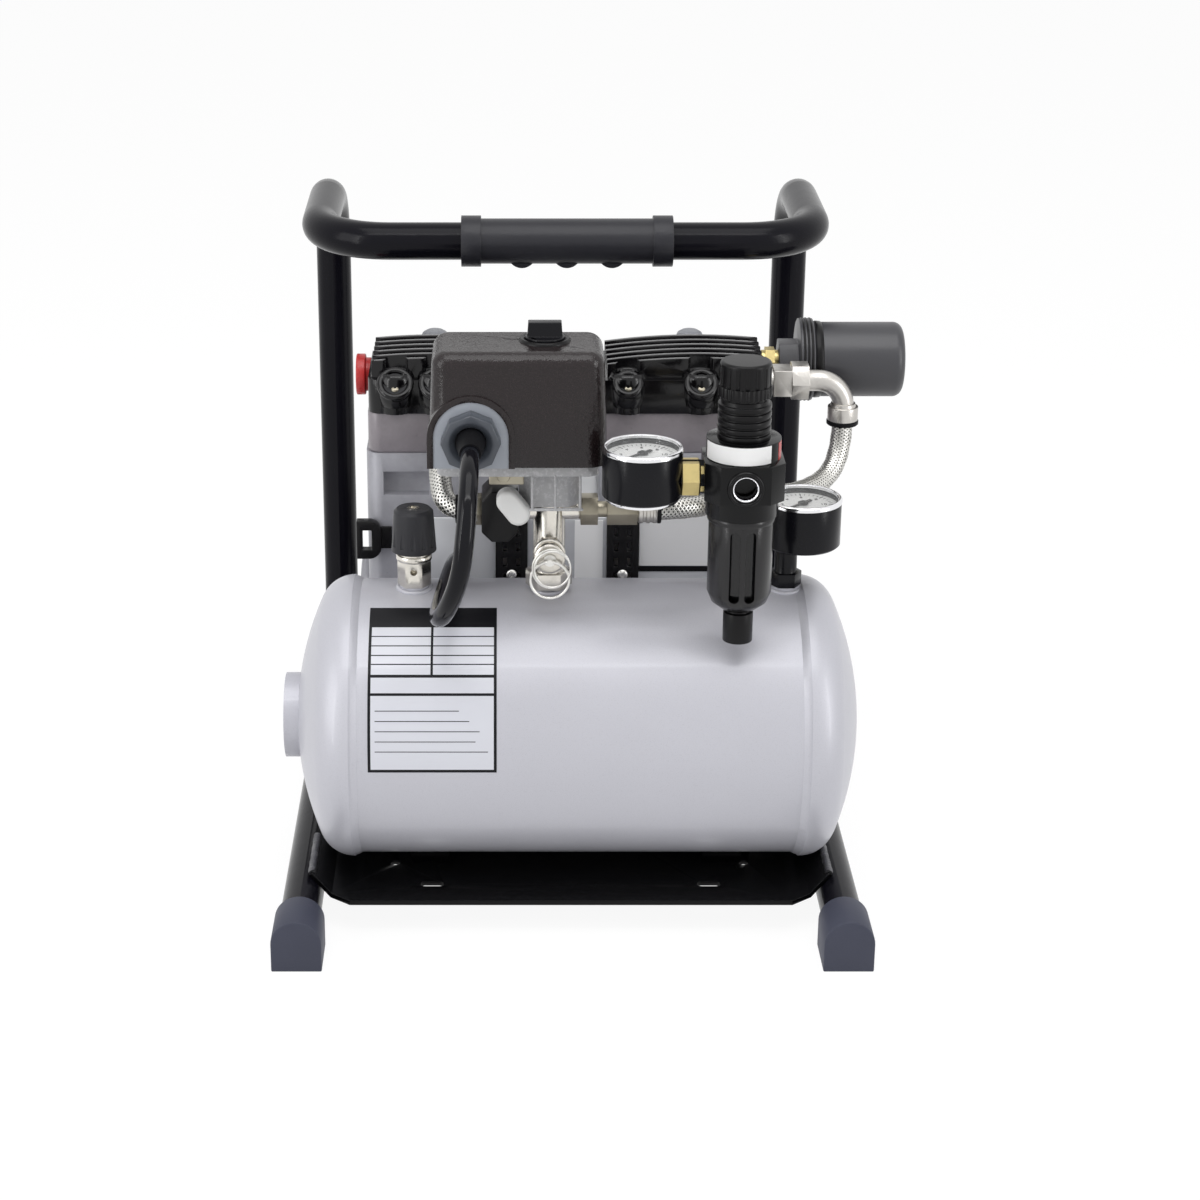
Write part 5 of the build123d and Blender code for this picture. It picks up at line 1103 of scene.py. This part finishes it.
lead_points = list(LEAD_ROUTE)
for turned in range(COIL_STEP, COIL_END + 1, COIL_STEP):
    inwards = eased(turned, 300, 360) - eased(turned, 905, 965)
    upwards = eased(turned, 560, 650)
    radius = OUTER_TURN + (INNER_TURN - OUTER_TURN) * inwards
    across, forward = polar(radius, math.radians(180 - turned))
    height = LOW_TURN + (HIGH_TURN - LOW_TURN) * upwards
    lead_points.append((COIL_X + across, COIL_Y + forward, height))
lead_points += PLUG_END
lead_curve = route_curve("mains_lead", [Vector(point) / 1000 for point in lead_points], 10)
lead_curve.bevel_depth = CORD_RADIUS
lead_curve.bevel_resolution = 6
lead_curve.use_fill_caps = True
lead_curve.materials.append(FINISHES["cord_jacket"].material)
mains_lead = put("mains_lead", lead_curve)
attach(mains_lead, MAIN)
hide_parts("mains_cord", "cord_coil")

# ---- Floor and sky: both look white, and give less light than they show ----
FLOOR_HALF = 6.0  # metres
FLOOR_GLOW, GLOW_SHARE = 1.08, 0.85
SKY_LIGHT, SKY_SEEN = 0.36, 1.0
corners = [(FLOOR_HALF * x, FLOOR_HALF * y, 0) for x, y in ((-1, -1), (1, -1), (1, 1), (-1, 1))]
floor_mesh = bpy.data.meshes.new("floor")
floor_mesh.from_pydata(corners, [], [(0, 1, 2, 3)])
floor = put("floor", floor_mesh)
white = Finish("floor_white", (0.88, 0.88, 0.88), 0.7, spec=0.0)
glow = white.add("ShaderNodeEmission", (1, 1, 1, 1), FLOOR_GLOW)
painted = Value(white, white.shader.outputs[0])
mixed = white.add("ShaderNodeMixShader", white.seen_rays() * GLOW_SHARE, painted, glow)
white.feed(white.tree.nodes["Material Output"].inputs[0], mixed)
floor_mesh.materials.append(white.material)

world = bpy.data.worlds.new("studio")
bpy.context.scene.world = world
world.use_nodes = True
sky = Writer(world.node_tree)
background = world.node_tree.nodes["Background"].inputs
sky.feed(background["Color"], (1, 1, 1, 1))
sky.feed(background["Strength"], sky.seen_rays().between(SKY_LIGHT, SKY_SEEN))


# ---- Lamps and camera ----
def lamp(name, place, target_z, size, power):
    """An area lamp that faces the object's axis at one height; all in metres."""
    data = bpy.data.lights.new(name, "AREA")
    data.shape = "RECTANGLE"
    data.size, data.size_y = size
    data.energy = power
    obj = put(name, data)
    obj.location = place
    facing = Vector((0, 0, target_z)) - Vector(place)
    obj.rotation_euler = facing.to_track_quat("-Z", "Y").to_euler()


lamp("top_softbox", (0.0, -0.35, 1.7), 0.1, (1.5, 1.1), 11)
lamp("left_softbox", (-1.7, -0.9, 0.8), 0.15, (0.9, 1.4), 8.2)
lamp("right_softbox", (1.7, -1.0, 0.7), 0.15, (0.7, 1.4), 6)
lamp("left_strip", (-1.15, -1.0, 0.55), 0.15, (0.07, 1.3), 2.8)
lamp("right_strip", (1.3, -0.75, 0.55), 0.15, (0.07, 1.3), 2.8)
lamp("over_strip", (0.0, -0.75, 1.45), 0.15, (1.7, 0.08), 2.6)

camera_data = bpy.data.cameras.new("camera")
camera_data.lens = 76.64
camera_data.sensor_width = 36
camera_data.shift_x = 0.0755
camera_data.shift_y = -0.05
camera_data.clip_end = 50
camera = put("camera", camera_data)
camera.location = (-0.04765, -1.28485, 0.6263)
camera.rotation_euler = (math.radians(90 - 20.273), 0, 0)
bpy.context.scene.camera = camera
bpy.context.scene.view_settings.view_transform = "Standard"
